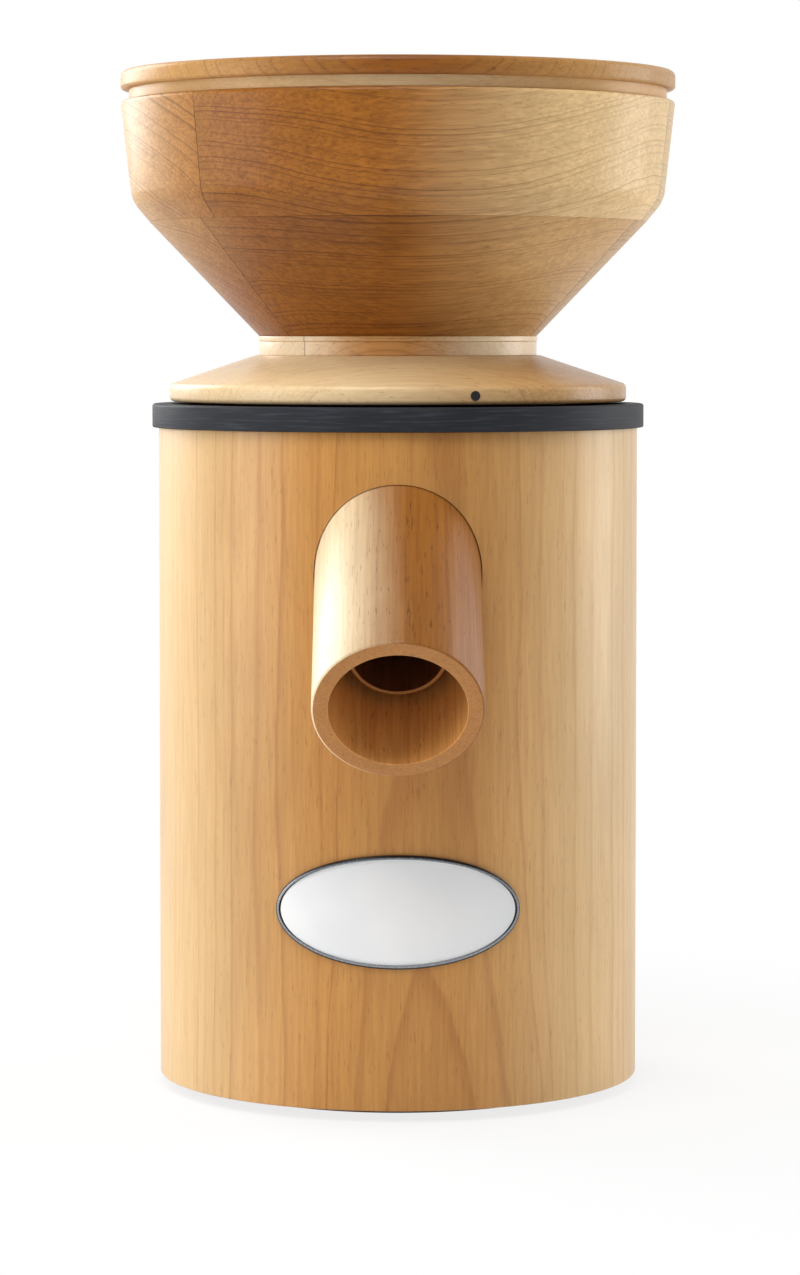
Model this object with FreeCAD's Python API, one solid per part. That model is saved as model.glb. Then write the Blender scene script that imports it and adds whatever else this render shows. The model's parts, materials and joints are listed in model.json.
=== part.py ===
import FreeCAD
import Part
import math
import os
from FreeCAD import Vector

# Electric grain mill with a wooden body, in millimetres.
# The origin lies on the vertical axis at table level, +Z up, the flour spout points to -Y.

# Wooden body tube and the dark ring on top of it
body_radius = 89.0
body_wall = 7.0
body_height = 240.8
body_edge_round = 0.6
ring_radius = 91.4
ring_height = 8.7
ring_edge_round = 0.9
spigot_depth = 6.0
seat_gap = 0.2
hole_play = 0.05
ring_lip_round = 0.5

# Foot ring and base plate
foot_height = 4.0
foot_inset = 12.0
foot_width = 12.0
foot_seat_depth = 1.0
foot_seat_play = 0.1
base_thickness = 8.0
vent_count = 12
vent_inset = 3.5
vent_width = 6.0
vent_angle = 14.0
block_inset = 16.0
block_count = 4
block_start = 45.0
block_width = 20.0
block_height = 18.0
base_screw_inset = 9.0
base_screw_radius = 2.0
base_screw_length = 20.0

# Turning head: collar, neck and hopper
head_gap = 0.8
throat_radius = 28.0
collar_radius = 84.9
collar_side = 6.4
collar_cone = 10.7
collar_top_radius = 53.0
collar_low_round = 1.6
collar_high_round = 2.0
collar_top_round = 0.8
neck_radius = 51.6
neck_band_height = 5.2
neck_shim_height = 1.9
neck_shim_radius = 52.0
cone_height = 42.4
cone_outer_radius = 92.3
cone_inner_radius = 78.0
cone_lip = 1.0
cone_foot_round = 0.3
shoulder_radius = 98.7
shoulder_height = 7.7
shoulder_round = 11.0
rim_height = 44.4
rim_radius = 102.8
rim_wall = 11.0
bowl_radius = 87.5
bowl_height = 11.0
bowl_round = 8.0
rim_outer_round = 1.5
rim_inner_round = 1.0
stave_count = 3
rim_stave_start = -135.0
cone_stave_start = -140.0
hopper_screw_count = 3
hopper_screw_offset = 15.5
hopper_screw_radius = 2.2
hopper_screw_bite = 7.0
hopper_head_radius = 4.2
hopper_head_height = 3.0
hopper_screw_start = 30.0

# Lid
lid_thickness = 6.8
lid_low_round = 1.2
lid_high_round = 2.2
lid_step_radius = 99.7
lid_step_height = 4.15
lid_seat_gap = 0.05
lid_plug_depth = 4.4
lid_plug_play = 1.1
lid_plug_round = 0.8
lid_step_round = 0.4

# Setting mark on the collar's side
dot_radius = 1.75
dot_turn = 18.8
dot_depth = 5.0
dot_proud = 0.25

# Thread between the head and the dark ring
thread_pitch = 3.0
ring_bore_wall = 16.9
thread_play = 0.4
ridge_height = 1.5
crest_width = 0.9
ridge_foot_width = 1.7
groove_root_width = 1.5
groove_mouth_width = 2.5
thread_sink = 0.5
male_turns = 5.0 / 3.0
groove_start = 5.2
groove_turns = 4
ring_nut_height = 10.2
ring_nut_web = 4.5
ring_nut_wall = 10.5
sleeve_wall = 3.5
ring_screw_count = 6
ring_screw_start = 30.0
ring_screw_radius = 2.0
ring_screw_length = 17.0
ring_screw_sink = 3.0
ring_head_radius = 3.7
ring_head_height = 2.4
ring_head_play = 0.2

# Stones, carrier and springs
rest_play = 0.1
carrier_plate = 3.8
carrier_skirt_play = 0.4
carrier_skirt_height = 14.0
carrier_edge_round = 0.4
stone_clearance = 10.0
stone_seat_play = 0.15
upper_stone_height = 17.8
stone_eye_radius = 14.0
stone_eye_mouth = 25.0
stone_edge_round = 0.5
stone_bore_play = 0.1
stone_gap_at_rest = 0.4
lower_stone_height = 17.0
nut_recess_radius = 17.0
nut_recess_depth = 8.0
spring_count = 3
spring_inset = 4.2
spring_radius = 3.2
spring_wire = 0.45
spring_pitch = 2.4
spring_end_gap = 0.3
pocket_radius = 4.3
pocket_depth = 12.8
pocket_wall = 2.4
pocket_floor = 4.0
pin_radius = 2.0
pin_hole_play = 0.35
pin_below_carrier_top = 0.8
pin_foot_floor = 1.0

# Grinding chamber
chamber_inset = 10.9
chamber_wall = 4.0
flange_thickness = 4.0
flange_inset = 1.8
floor_thickness = 6.0
driver_clearance = 1.0
floor_bore = 15.0
seal_outer = 20.0
seal_height = 3.0
seal_play = 0.3
chamber_screw_count = 6
chamber_screw_inset = 7.8
chamber_screw_radius = 2.0
chamber_screw_length = 14.0
chamber_head_height = 2.5
head_ratio = 1.8

# Stone driver with sweeper blades, washer, nut
driver_disc = 4.0
driver_rim = 2.0
driver_hub_radius = 14.0
driver_hub_drop = 5.0
blade_count = 3
blade_start = 10.0
blade_gap = 0.3
blade_clearance = 1.0
blade_height = 13.0
blade_width = 4.0
washer_height = 2.0
washer_radius = 13.0
nut_height = 6.0
nut_flats = 19.0

# Spout and inner chute
spout_angle = 34.0
spout_axis_drop = 54.4
spout_reach = 57.0
spout_outer = 29.5
spout_wall = 5.7
spout_round = 0.9
spout_inner_inset = 3.0
chute_outer = 17.6
chute_wall = 1.7
chute_set_back = 30.0
outlet_boss = 21.0
outlet_boss_inset = 8.0
outlet_boss_drop = 40.0
foam_seal_back = 66.0
foam_seal_length = 8.0
cut_over = 5.0

# Motor
motor_space = 22.0
neck_flange_inset = 22.0
neck_flange_height = 18.0
bell_height = 26.0
bell_wall = 9.0
bell_web = 6.0
bell_round = 1.0
bell_lip = 7.0
stack_height = 58.0
low_bell_height = 28.0
low_bell_web = 8.0
low_hub_wall = 4.0
low_shaft_play = 1.0
bearing_outer = 20.0
bearing_bore = 8.5
bearing_width = 12.0
bearing_race = 3.0
shield_gap = 0.5
shield_thickness = 1.0
bearing_lip = 8.0
low_bearing_lip = 4.0
shaft_step = 10.0
shaft_top_radius = 7.5
shaft_thread_radius = 6.0
shaft_thread_end = 2.0
shaft_play = 1.5
shaft_tip_round = 0.8
shaft_tail_round = 0.6
rotor_inset = 29.4
air_gap = 0.4
rotor_cap = 6.0
rotor_cap_inset = 3.6
slot_count = 24
slot_width = 4.0
slot_depth = 15.0
slot_mouth = 1.6
slot_mouth_depth = 6.0
slot_start = 7.5
slot_end_play = 0.5
slot_lining = 0.2
winding_inner_inset = 27.0
winding_outer_inset = 12.5
winding_height = 13.0
winding_round = 4.0
winding_overlap = 1.0
window_count = 6
window_width = 20.0
window_height = 10.0
window_margin = 4.0
window_start = 30.0
bolt_count = 4
bolt_inset = 4.5
bolt_radius = 2.5
bolt_head_radius = 4.5
bolt_head_height = 3.5
motor_screw_inset = 30.0
motor_screw_radius = 2.5
motor_screw_length = 15.0
motor_screw_count = 4
motor_screw_start = 45.0
motor_head_height = 3.0
fan_gap = 4.0
fan_height = 12.0
fan_inset = 12.0
fan_hub_radius = 14.0
fan_plate = 2.0
fan_blade = 2.0
fan_blade_count = 9
fan_blade_root = 1.0
shaft_tail = 6.0

# Electrical parts in the base
capacitor_radius = 15.0
capacitor_length = 60.0
capacitor_inset = 38.0
capacitor_chamfer = 0.8
clip_width = 12.0
clip_sheet = 1.2
clip_foot = 8.0
terminal_inset = 38.0
terminal_y = -6.0
terminal_size = (26.0, 14.0, 14.0)
terminal_pitch = 8.0
terminal_hole = 2.2
terminal_hole_floor = 6.0

# Rear panel with inlet and rocker switch
panel_width = 53.0
panel_height = 80.0
panel_base_z = 26.0
panel_thickness = 2.0
panel_sink = 4.4
panel_round = 3.0
panel_play = 0.5
cutout_play = 0.2
inlet_z = 44.0
inlet_flange = (50.0, 22.5, 2.5)
inlet_body = (27.6, 20.0, 24.0)
inlet_socket = (24.0, 16.0, 16.0)
inlet_flange_round = 4.0
inlet_socket_chamfer = 4.0
inlet_pin_width = 2.0
inlet_pin_height = 4.0
inlet_pin_recess = 2.0
inlet_pin_tail = 4.0
inlet_pin_pitch = 7.0
inlet_pin_row = 2.0
inlet_screw_pitch = 40.0
inlet_screw_length = 10.0
inlet_head_radius = 2.7
switch_z = 82.0
bezel = (25.0, 32.0, 1.8)
switch_body = (21.6, 27.6, 19.6)
switch_well = (18.0, 25.6)
switch_well_depth = 9.6
rocker_width = 17.4
rocker_half = 11.6
rocker_back_half = 6.0
rocker_back = 4.0
rocker_lip = 0.6
rocker_rise = 4.6
rocker_middle_rise = 2.8
rocker_turn = 20.0
rocker_pivot_sink = 1.0
rocker_pin = 1.2
rocker_pin_play = 0.07
rocker_pin_reach = 1.3
rocker_bore_reach = 1.5
panel_screw_inset = 5.0
panel_screw_low_inset = 3.5
panel_screw_radius = 1.5
panel_screw_length = 8.0
panel_screw_pilot = 12.0
panel_head_radius = 2.8
rear_head_height = 1.6

# Oval plate on the front, bare
badge_width = 85.8
badge_height = 40.6
badge_z = 75.2
badge_thickness = 1.3
badge_bezel_width = 1.4
badge_bezel_proud = 0.4
badge_film = 0.03

# Sizes and heights that follow from those above
base_top = foot_height + base_thickness
body_top = foot_height + body_height
ring_top = body_top + ring_height
spigot_bottom = body_top - spigot_depth
body_inner = body_radius - body_wall
fit_radius = body_inner - seat_gap
foot_outer = body_inner - foot_inset
foot_inner = foot_outer - foot_width
vent_outer = body_inner - vent_inset
vent_inner = vent_outer - vent_width
block_radius = body_inner - block_inset
base_screw_circle = body_inner - base_screw_inset
bore_radius = fit_radius - ring_bore_wall
core_radius = bore_radius - thread_play
thread_crest = core_radius + ridge_height
groove_root = bore_radius + ridge_height
ring_nut_wall_inner = core_radius - ring_nut_wall
chamber_radius = bore_radius - chamber_inset
spring_circle = core_radius - spring_inset
carrier_skirt_radius = chamber_radius - carrier_skirt_play
stone_radius = chamber_radius - stone_clearance
driver_radius = stone_radius + driver_rim
blade_reach = chamber_radius - blade_clearance
motor_radius = body_inner - motor_space
rotor_radius = motor_radius - rotor_inset
rotor_cap_radius = rotor_radius - rotor_cap_inset
winding_inner = motor_radius - winding_inner_inset
winding_outer = motor_radius - winding_outer_inset
bolt_circle = motor_radius - bolt_inset
motor_screw_circle = motor_radius - motor_screw_inset
neck_flange_radius = motor_radius - neck_flange_inset
fan_radius = motor_radius - fan_inset
flange_radius = fit_radius - flange_inset
chamber_screw_circle = fit_radius - chamber_screw_inset
collar_bottom = ring_top + head_gap
collar_shoulder = collar_bottom + collar_side
collar_top = collar_shoulder + collar_cone
shim_bottom = collar_top + neck_band_height
cone_bottom = shim_bottom + neck_shim_height
rim_bottom = cone_bottom + cone_height
rim_top = rim_bottom + rim_height
lid_bottom = rim_top + lid_seat_gap + lid_step_height
lid_top = lid_bottom + lid_thickness
ring_nut_bottom = collar_bottom - ring_nut_height
carrier_top = ring_nut_bottom - rest_play
carrier_under = carrier_top - carrier_plate
upper_stone_bottom = carrier_under - upper_stone_height
lower_stone_top = upper_stone_bottom - stone_gap_at_rest
lower_stone_bottom = lower_stone_top - lower_stone_height
driver_bottom = lower_stone_bottom - driver_disc
floor_top = driver_bottom - driver_clearance
motor_top = floor_top - floor_thickness
flange_bottom = spigot_bottom - flange_thickness
pocket_bottom = spigot_bottom - pocket_depth
bell_top = motor_top - neck_flange_height
stack_top = bell_top - bell_height
stack_bottom = stack_top - stack_height
motor_bottom = stack_bottom - low_bell_height
upper_bearing = motor_top - bearing_lip - bearing_width
lower_bearing = motor_bottom + low_bearing_lip
spout_axis_z = body_top - spout_axis_drop
spout_inner = spout_outer - spout_wall
chute_inner = chute_outer - chute_wall
spout_face = body_radius + spout_reach
spout_inner_end = body_inner - spout_inner_inset
outlet_boss_reach = body_inner - outlet_boss_inset
panel_seat_y = body_radius - panel_sink
panel_face_y = panel_seat_y + panel_thickness
inlet_front_y = panel_face_y + inlet_flange[2]
capacitor_y = capacitor_inset - body_inner
terminal_x = body_inner - terminal_inset
fan_top = motor_bottom - fan_gap
fan_bottom = fan_top - fan_height

Z_AXIS = Vector(0, 0, 1)
ORIGIN = Vector(0, 0, 0)
FRONT = -90.0


def outline(corners):
    """Closed face in the XZ plane; a corner (r, z, round) gets an arc of that radius."""
    points = [Vector(corner[0], 0, corner[1]) for corner in corners]
    rounds = [corner[2] if len(corner) > 2 else 0.0 for corner in corners]
    count = len(points)
    edges = []
    ends = []
    for i in range(count):
        here = points[i]
        before = (points[i - 1] - here).normalize()
        after = (points[(i + 1) % count] - here).normalize()
        if rounds[i] <= 0:
            ends.append((here, None, here))
            continue
        half = before.getAngle(after) / 2
        back = rounds[i] / math.tan(half)
        middle = (before + after).normalize()
        centre = here + middle * (rounds[i] / math.sin(half))
        ends.append((here + before * back, centre - middle * rounds[i], here + after * back))
    for i in range(count):
        start, middle, finish = ends[i]
        if middle is not None:
            edges.append(Part.Arc(start, middle, finish).toShape())
        following = ends[(i + 1) % count][0]
        if finish.distanceToPoint(following) > 1e-6:
            edges.append(Part.makeLine(finish, following))
    return Part.Face(Part.Wire(edges))


def turned(corners, angle=360.0, start=0.0):
    face = outline(corners)
    face.rotate(ORIGIN, Z_AXIS, start)
    return face.revolve(ORIGIN, Z_AXIS, angle)


def disc(radius, low, high):
    return Part.makeCylinder(radius, high - low, Vector(0, 0, low))


def pipe(outer, inner, low, high):
    return disc(outer, low, high).cut(disc(inner, low, high))


def block(centre_x, centre_y, low, size_x, size_y, size_z):
    corner = Vector(centre_x - size_x / 2, centre_y - size_y / 2, low)
    return Part.makeBox(size_x, size_y, size_z, corner)


def post(radius, x, y, low, high):
    return Part.makeCylinder(radius, high - low, Vector(x, y, low))


def around(shape, count, start=0.0):
    copies = []
    for i in range(count):
        copy = shape.copy()
        copy.rotate(ORIGIN, Z_AXIS, start + 360.0 * i / count)
        copies.append(copy)
    return copies


def without(shape, tools):
    for tool in tools:
        shape = shape.cut(tool)
    return shape


def joined(shape, others):
    for other in others:
        shape = shape.fuse(other)
    return shape.removeSplitter()


def save(name, *solids):
    shape = solids[0] if len(solids) == 1 else Part.makeCompound(list(solids))
    shape.exportStep("parts/" + name + ".step")
    print(name, len(shape.Solids), "solids", round(shape.Volume, 1), "mm3", shape.isValid())


def screw(radius, head_radius, head_height, length, x, y, seat, up=True):
    """Round-head screw whose head lies under (up) or over the seat height."""
    if up:
        return post(radius, x, y, seat, seat + length).fuse(post(head_radius, x, y, seat - head_height, seat))
    return post(radius, x, y, seat - length, seat).fuse(post(head_radius, x, y, seat, seat + head_height))


def spiral_ridge(radius, crest, foot_width, top_width, low, turns):
    """Trapezoid thread ridge swept along a helix, standing out from the given radius."""
    helix = Part.makeHelix(thread_pitch, thread_pitch * turns, radius)
    helix.translate(Vector(0, 0, low))
    inner = radius - thread_sink
    corners = [Vector(inner, 0, low - foot_width / 2), Vector(crest, 0, low - top_width / 2)]
    corners.append(Vector(crest, 0, low + top_width / 2))
    corners.append(Vector(inner, 0, low + foot_width / 2))
    corners.append(corners[0])
    return Part.Wire(helix).makePipeShell([Part.makePolygon(corners)], True, True)


def spout_direction():
    angle = math.radians(spout_angle)
    return Vector(0, -math.cos(angle), -math.sin(angle))


def on_spout_axis(forward):
    """Point of the spout axis at this distance in front of the body axis."""
    return Vector(0, -forward, spout_axis_z + (body_radius - forward) * math.tan(math.radians(spout_angle)))


def slanted(radius, start, finish):
    """Cylinder along the spout axis between two distances in front of the body axis."""
    length = (finish - start) / math.cos(math.radians(spout_angle))
    return Part.makeCylinder(radius, length, on_spout_axis(start), spout_direction())


def spout_root():
    """Distance in front of the body axis where the spout and its hole start, inside the wall."""
    return spout_inner_end - spout_outer


def foot_and_base():
    seat = foot_height + foot_seat_depth
    save("foot_ring", pipe(foot_outer, foot_inner, 0, seat))
    plate = disc(fit_radius, foot_height, base_top)
    plate = plate.cut(pipe(foot_outer + foot_seat_play, foot_inner - foot_seat_play, foot_height, seat))
    slot = [(vent_inner, foot_height), (vent_outer, foot_height), (vent_outer, base_top),
            (vent_inner, base_top)]
    vents = around(turned(slot, vent_angle, -vent_angle / 2), vent_count)
    hole = post(base_screw_radius, base_screw_circle, 0, foot_height, base_top)
    save("base_plate", without(plate, vents + around(hole, block_count, block_start)))
    wood = Part.makeBox(body_inner, block_width, block_height,
                        Vector(block_radius, -block_width / 2, base_top))
    wood = wood.common(disc(fit_radius, base_top, base_top + block_height))
    pilot = post(base_screw_radius, base_screw_circle, 0, base_top, foot_height + base_screw_length)
    save("base_blocks", *around(wood.cut(pilot), block_count, block_start))
    fixing = post(base_screw_radius, base_screw_circle, 0, foot_height, foot_height + base_screw_length)
    save("base_screws", *around(fixing, block_count, block_start))


def body_tube():
    tube = turned([
        (body_inner, foot_height), (body_radius, foot_height, body_edge_round),
        (body_radius, body_top), (body_inner, body_top)])
    middle = panel_base_z + panel_height / 2
    wide = panel_width + 2 * panel_play
    high = panel_height + 2 * panel_play
    tube = tube.cut(rear_box(wide, high, middle, panel_seat_y, body_radius))
    tube = tube.cut(slanted(spout_outer + hole_play, spout_root(), spout_face))
    tube = without(tube, rear_cutouts(body_inner / 2, panel_seat_y))
    tube = without(tube, [rear_rod(panel_screw_radius, x, z, panel_seat_y - panel_screw_pilot, panel_seat_y)
                          for x, z in panel_screw_places() + inlet_screw_places()])
    save("housing_tube", tube)


def top_ring():
    ring = turned([
        (bore_radius, spigot_bottom), (fit_radius, spigot_bottom), (fit_radius, body_top),
        (ring_radius, body_top, ring_lip_round), (ring_radius, ring_top, ring_edge_round),
        (bore_radius, ring_top)])
    groove = spiral_ridge(bore_radius, groove_root, groove_mouth_width, groove_root_width,
                          spigot_bottom + groove_start, groove_turns)
    ring = ring.cut(groove)
    hole_top = flange_bottom + chamber_screw_length
    hole = post(chamber_screw_radius, chamber_screw_circle, 0, spigot_bottom, hole_top)
    save("top_ring", without(ring, around(hole, chamber_screw_count)))


def grinding_chamber():
    outer = chamber_radius + chamber_wall
    shell = turned([
        (floor_bore, motor_top), (outer, motor_top), (outer, flange_bottom), (flange_radius, flange_bottom),
        (flange_radius, spigot_bottom), (chamber_radius, spigot_bottom), (chamber_radius, floor_top),
        (floor_bore, floor_top)])
    boss = post(pocket_radius + pocket_wall, spring_circle, 0, pocket_bottom - pocket_floor, spigot_bottom)
    outlet = slanted(outlet_boss, chamber_radius - 2 * chamber_wall, outlet_boss_reach)
    outlet = outlet.common(disc(body_inner, motor_top - outlet_boss_drop, spigot_bottom))
    shell = joined(shell, around(boss, spring_count, -FRONT) + [outlet])
    shell = shell.cut(disc(chamber_radius, floor_top, spigot_bottom))
    pocket = post(pocket_radius, spring_circle, 0, pocket_bottom, spigot_bottom)
    pin_low = pocket_bottom - pocket_floor + pin_foot_floor
    socket = post(pin_radius, spring_circle, 0, pin_low, pocket_bottom)
    shell = without(shell, around(pocket, spring_count, -FRONT) + around(socket, spring_count, -FRONT))
    shell = shell.cut(slanted(chute_outer + hole_play, chamber_radius - outlet_boss, body_radius))
    shell = shell.cut(disc(seal_outer, motor_top, motor_top + seal_height))
    hole = post(chamber_screw_radius, chamber_screw_circle, 0, flange_bottom, spigot_bottom)
    shell = without(shell, around(hole, chamber_screw_count))
    save("grinding_chamber", without(shell, motor_fixings()))
    fixing = screw(chamber_screw_radius, chamber_screw_radius * head_ratio, chamber_head_height,
                   chamber_screw_length, chamber_screw_circle, 0, flange_bottom)
    save("chamber_screws", *around(fixing, chamber_screw_count))
    pin = post(pin_radius, spring_circle, 0, pin_low, carrier_top - pin_below_carrier_top)
    save("guide_pins", *around(pin, spring_count, -FRONT))
    save("shaft_seal", pipe(seal_outer, driver_hub_radius + seal_play, motor_top, motor_top + seal_height))


def motor_fixings():
    """Screws through the chamber floor into the motor's upper bell."""
    fixing = screw(motor_screw_radius, motor_screw_radius * head_ratio, motor_head_height,
                   motor_screw_length, motor_screw_circle, 0, floor_top - motor_head_height, up=False)
    return around(fixing, motor_screw_count, motor_screw_start)


def spout_and_chute():
    outer = slanted(spout_outer, spout_root(), spout_face)
    edges = [edge for edge in outer.Edges if isinstance(edge.Curve, Part.Circle)
             and edge.BoundBox.YMin < -spout_face]
    outer = outer.makeFillet(spout_round, edges)
    spout = outer.cut(slanted(spout_inner, spout_root() - cut_over, spout_face + cut_over))
    save("spout_tube", spout.cut(disc(spout_inner_end, motor_bottom, ring_top)))
    level = math.cos(math.radians(spout_angle))
    root = chamber_radius - chute_outer
    chute = slanted(chute_outer, root, spout_face - chute_set_back * level)
    chute = chute.cut(slanted(chute_inner, root - cut_over, spout_face))
    save("outlet_chute", chute.cut(disc(chamber_radius + 2 * hole_play, motor_bottom, ring_top)))
    seal_start = spout_face - foam_seal_back * level
    seal_end = seal_start + foam_seal_length * level
    seal = slanted(spout_inner, seal_start, seal_end)
    save("spout_seal", seal.cut(slanted(chute_outer, seal_start - cut_over, seal_end + cut_over)))


def threaded_ring():
    low = ring_nut_bottom
    web = low + ring_nut_web
    sleeve = throat_radius + sleeve_wall
    ring = turned([
        (throat_radius, low), (core_radius, low, ring_lip_round), (core_radius, collar_bottom),
        (ring_nut_wall_inner, collar_bottom), (ring_nut_wall_inner, web), (sleeve, web),
        (sleeve, collar_bottom), (throat_radius, collar_bottom)])
    thread_low = spigot_bottom + groove_start + thread_pitch
    ridge = spiral_ridge(core_radius, thread_crest, ridge_foot_width, crest_width, thread_low, male_turns)
    ring = ring.fuse(ridge)
    circle = (core_radius + ring_nut_wall_inner) / 2
    seat = low + ring_screw_sink
    sink = post(ring_head_radius + ring_head_play, circle, 0, low, seat)
    hole = post(ring_screw_radius, circle, 0, seat, collar_bottom)
    save("threaded_ring", without(ring, around(sink.fuse(hole), ring_screw_count, ring_screw_start)))
    fixing = screw(ring_screw_radius, ring_head_radius, ring_head_height, ring_screw_length, circle, 0, seat)
    save("ring_screws", *around(fixing, ring_screw_count, ring_screw_start))
    hole = post(ring_screw_radius, circle, 0, collar_bottom, seat + ring_screw_length)
    return around(hole, ring_screw_count, ring_screw_start)


def setting_collar(screw_holes, hopper_holes):
    collar = turned([
        (throat_radius, collar_bottom), (collar_radius, collar_bottom, collar_low_round),
        (collar_radius, collar_shoulder, collar_high_round),
        (collar_top_radius, collar_top, collar_top_round), (throat_radius, collar_top)])
    height = (collar_bottom + collar_shoulder) / 2
    mark = Part.makeCylinder(dot_radius, dot_depth, Vector(collar_radius - dot_depth + dot_proud, 0, height),
                             Vector(1, 0, 0))
    mark.rotate(ORIGIN, Z_AXIS, FRONT + dot_turn)
    save("setting_dot", mark)
    save("setting_collar", without(collar, screw_holes + hopper_holes + [mark]))


def hopper_fixings():
    """Three long screws from under the collar into the hopper cone."""
    circle = throat_radius + hopper_screw_offset
    seat = collar_bottom + hopper_head_height
    fixing = screw(hopper_screw_radius, hopper_head_radius, hopper_head_height,
                   cone_bottom + hopper_screw_bite - seat, circle, 0, seat)
    return around(fixing, hopper_screw_count, hopper_screw_start)


def hopper(fixings):
    neck = pipe(neck_radius, throat_radius, collar_top, shim_bottom)
    save("neck_band", without(neck, fixings))
    save("neck_shim", without(pipe(neck_shim_radius, throat_radius, shim_bottom, cone_bottom), fixings))
    turn = 360.0 / stave_count
    names = ("front", "right", "left")
    cone = [
        (throat_radius, cone_bottom), (neck_radius, cone_bottom, cone_foot_round),
        (cone_outer_radius, rim_bottom), (cone_inner_radius, rim_bottom),
        (throat_radius, cone_bottom + cone_lip)]
    rim = [
        (cone_inner_radius, rim_bottom), (cone_outer_radius, rim_bottom),
        (shoulder_radius, rim_bottom + shoulder_height, shoulder_round),
        (rim_radius, rim_top, rim_outer_round), (rim_radius - rim_wall, rim_top, rim_inner_round),
        (bowl_radius, rim_bottom + bowl_height, bowl_round)]
    for i in range(stave_count):
        stave = turned(cone, turn, cone_stave_start + turn * i)
        save("cone_stave_" + names[i], without(stave, fixings))
        save("rim_stave_" + names[i], turned(rim, turn, rim_stave_start + turn * i))


def lid():
    low = rim_top + lid_seat_gap
    plug_bottom = rim_top - lid_plug_depth
    slope = (rim_radius - rim_wall - bowl_radius) / (rim_height - bowl_height)
    plug_radius = rim_radius - rim_wall - slope * lid_plug_depth - lid_plug_play
    save("lid_disc", turned([
        (0, lid_bottom), (rim_radius, lid_bottom, lid_low_round),
        (rim_radius, lid_top, lid_high_round), (0, lid_top)]))
    save("lid_step", turned([
        (0, plug_bottom), (plug_radius, plug_bottom, lid_plug_round), (plug_radius, low),
        (lid_step_radius, low, lid_step_round),
        (lid_step_radius, lid_bottom), (0, lid_bottom)]))


def stones():
    skirt_bottom = carrier_under - carrier_skirt_height
    carrier = turned([
        (throat_radius, carrier_under), (throat_radius, carrier_top),
        (core_radius, carrier_top, carrier_edge_round), (core_radius, carrier_under),
        (carrier_skirt_radius, carrier_under),
        (carrier_skirt_radius, skirt_bottom), (stone_radius + stone_seat_play, skirt_bottom),
        (stone_radius + stone_seat_play, carrier_under)])
    hole = post(pin_radius + pin_hole_play, spring_circle, 0, carrier_under, carrier_top)
    save("stone_carrier", without(carrier, around(hole, spring_count, -FRONT)))
    save("upper_stone", turned([
        (stone_eye_radius, upper_stone_bottom), (stone_radius, upper_stone_bottom, stone_edge_round),
        (stone_radius, carrier_under), (stone_eye_mouth, carrier_under)]))
    recess = lower_stone_top - nut_recess_depth
    bore = shaft_top_radius + stone_bore_play
    save("lower_stone", turned([
        (bore, lower_stone_bottom), (stone_radius, lower_stone_bottom),
        (stone_radius, lower_stone_top, stone_edge_round), (nut_recess_radius, lower_stone_top),
        (nut_recess_radius, recess), (bore, recess)]))
    hub_bottom = driver_bottom - driver_hub_drop
    plate = turned([
        (shaft_top_radius, hub_bottom), (driver_hub_radius, hub_bottom), (driver_hub_radius, driver_bottom),
        (driver_radius, driver_bottom), (driver_radius, lower_stone_bottom),
        (shaft_top_radius, lower_stone_bottom)])
    blade_root = stone_radius + blade_gap
    blade = Part.makeBox(blade_reach - blade_root, blade_width, blade_height,
                         Vector(blade_root, -blade_width / 2, driver_bottom))
    save("stone_driver", joined(plate, around(blade, blade_count, blade_start)))
    washer_top = recess + washer_height
    save("stone_washer", pipe(washer_radius, shaft_top_radius, recess, washer_top))
    nut_radius = nut_flats / math.sqrt(3)
    angles = [math.radians(60 * i) for i in range(7)]
    corners = [Vector(nut_radius * math.cos(angle), nut_radius * math.sin(angle), washer_top) for angle in angles]
    nut = Part.Face(Part.makePolygon(corners)).extrude(Vector(0, 0, nut_height))
    save("stone_nut", nut.cut(disc(shaft_thread_radius, washer_top, washer_top + nut_height)))
    return washer_top


def springs():
    low = pocket_bottom + spring_wire + spring_end_gap
    height = carrier_under - spring_wire - spring_end_gap - low
    helix = Part.makeHelix(spring_pitch, height, spring_radius)
    section = Part.Wire(Part.makeCircle(spring_wire, Vector(spring_radius, 0, 0), Vector(0, 1, 0)))
    coil = Part.Wire(helix).makePipeShell([section], True, True)
    coil.translate(Vector(spring_circle, 0, low))
    save("carrier_springs", *around(coil, spring_count, -FRONT))


def shaft_and_rotor(washer_top):
    tail = fan_bottom - shaft_tail
    low_seat = lower_bearing + bearing_width + shaft_play
    high_seat = upper_bearing - shaft_play
    step = driver_bottom - driver_hub_drop
    tip = washer_top + nut_height + shaft_thread_end
    save("motor_shaft", turned([
        (0, tail), (bearing_bore, tail, shaft_tail_round), (bearing_bore, low_seat), (shaft_step, low_seat),
        (shaft_step, high_seat), (bearing_bore, high_seat), (bearing_bore, step), (shaft_top_radius, step),
        (shaft_top_radius, washer_top), (shaft_thread_radius, washer_top),
        (shaft_thread_radius, tip, shaft_tip_round), (0, tip)]))
    save("rotor_core", turned([
        (shaft_step, stack_bottom - rotor_cap), (rotor_cap_radius, stack_bottom - rotor_cap),
        (rotor_cap_radius, stack_bottom), (rotor_radius, stack_bottom), (rotor_radius, stack_top),
        (rotor_cap_radius, stack_top), (rotor_cap_radius, stack_top + rotor_cap),
        (shaft_step, stack_top + rotor_cap)]))
    hub = pipe(fan_hub_radius, bearing_bore, fan_bottom, fan_top)
    plate = pipe(fan_radius, bearing_bore, fan_top - fan_plate, fan_top)
    blade_root = fan_hub_radius - fan_blade_root
    blade = Part.makeBox(fan_radius - blade_root, fan_blade, fan_height - fan_plate,
                         Vector(blade_root, -fan_blade / 2, fan_bottom))
    save("motor_fan", joined(hub, [plate] + around(blade, fan_blade_count)))


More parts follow.
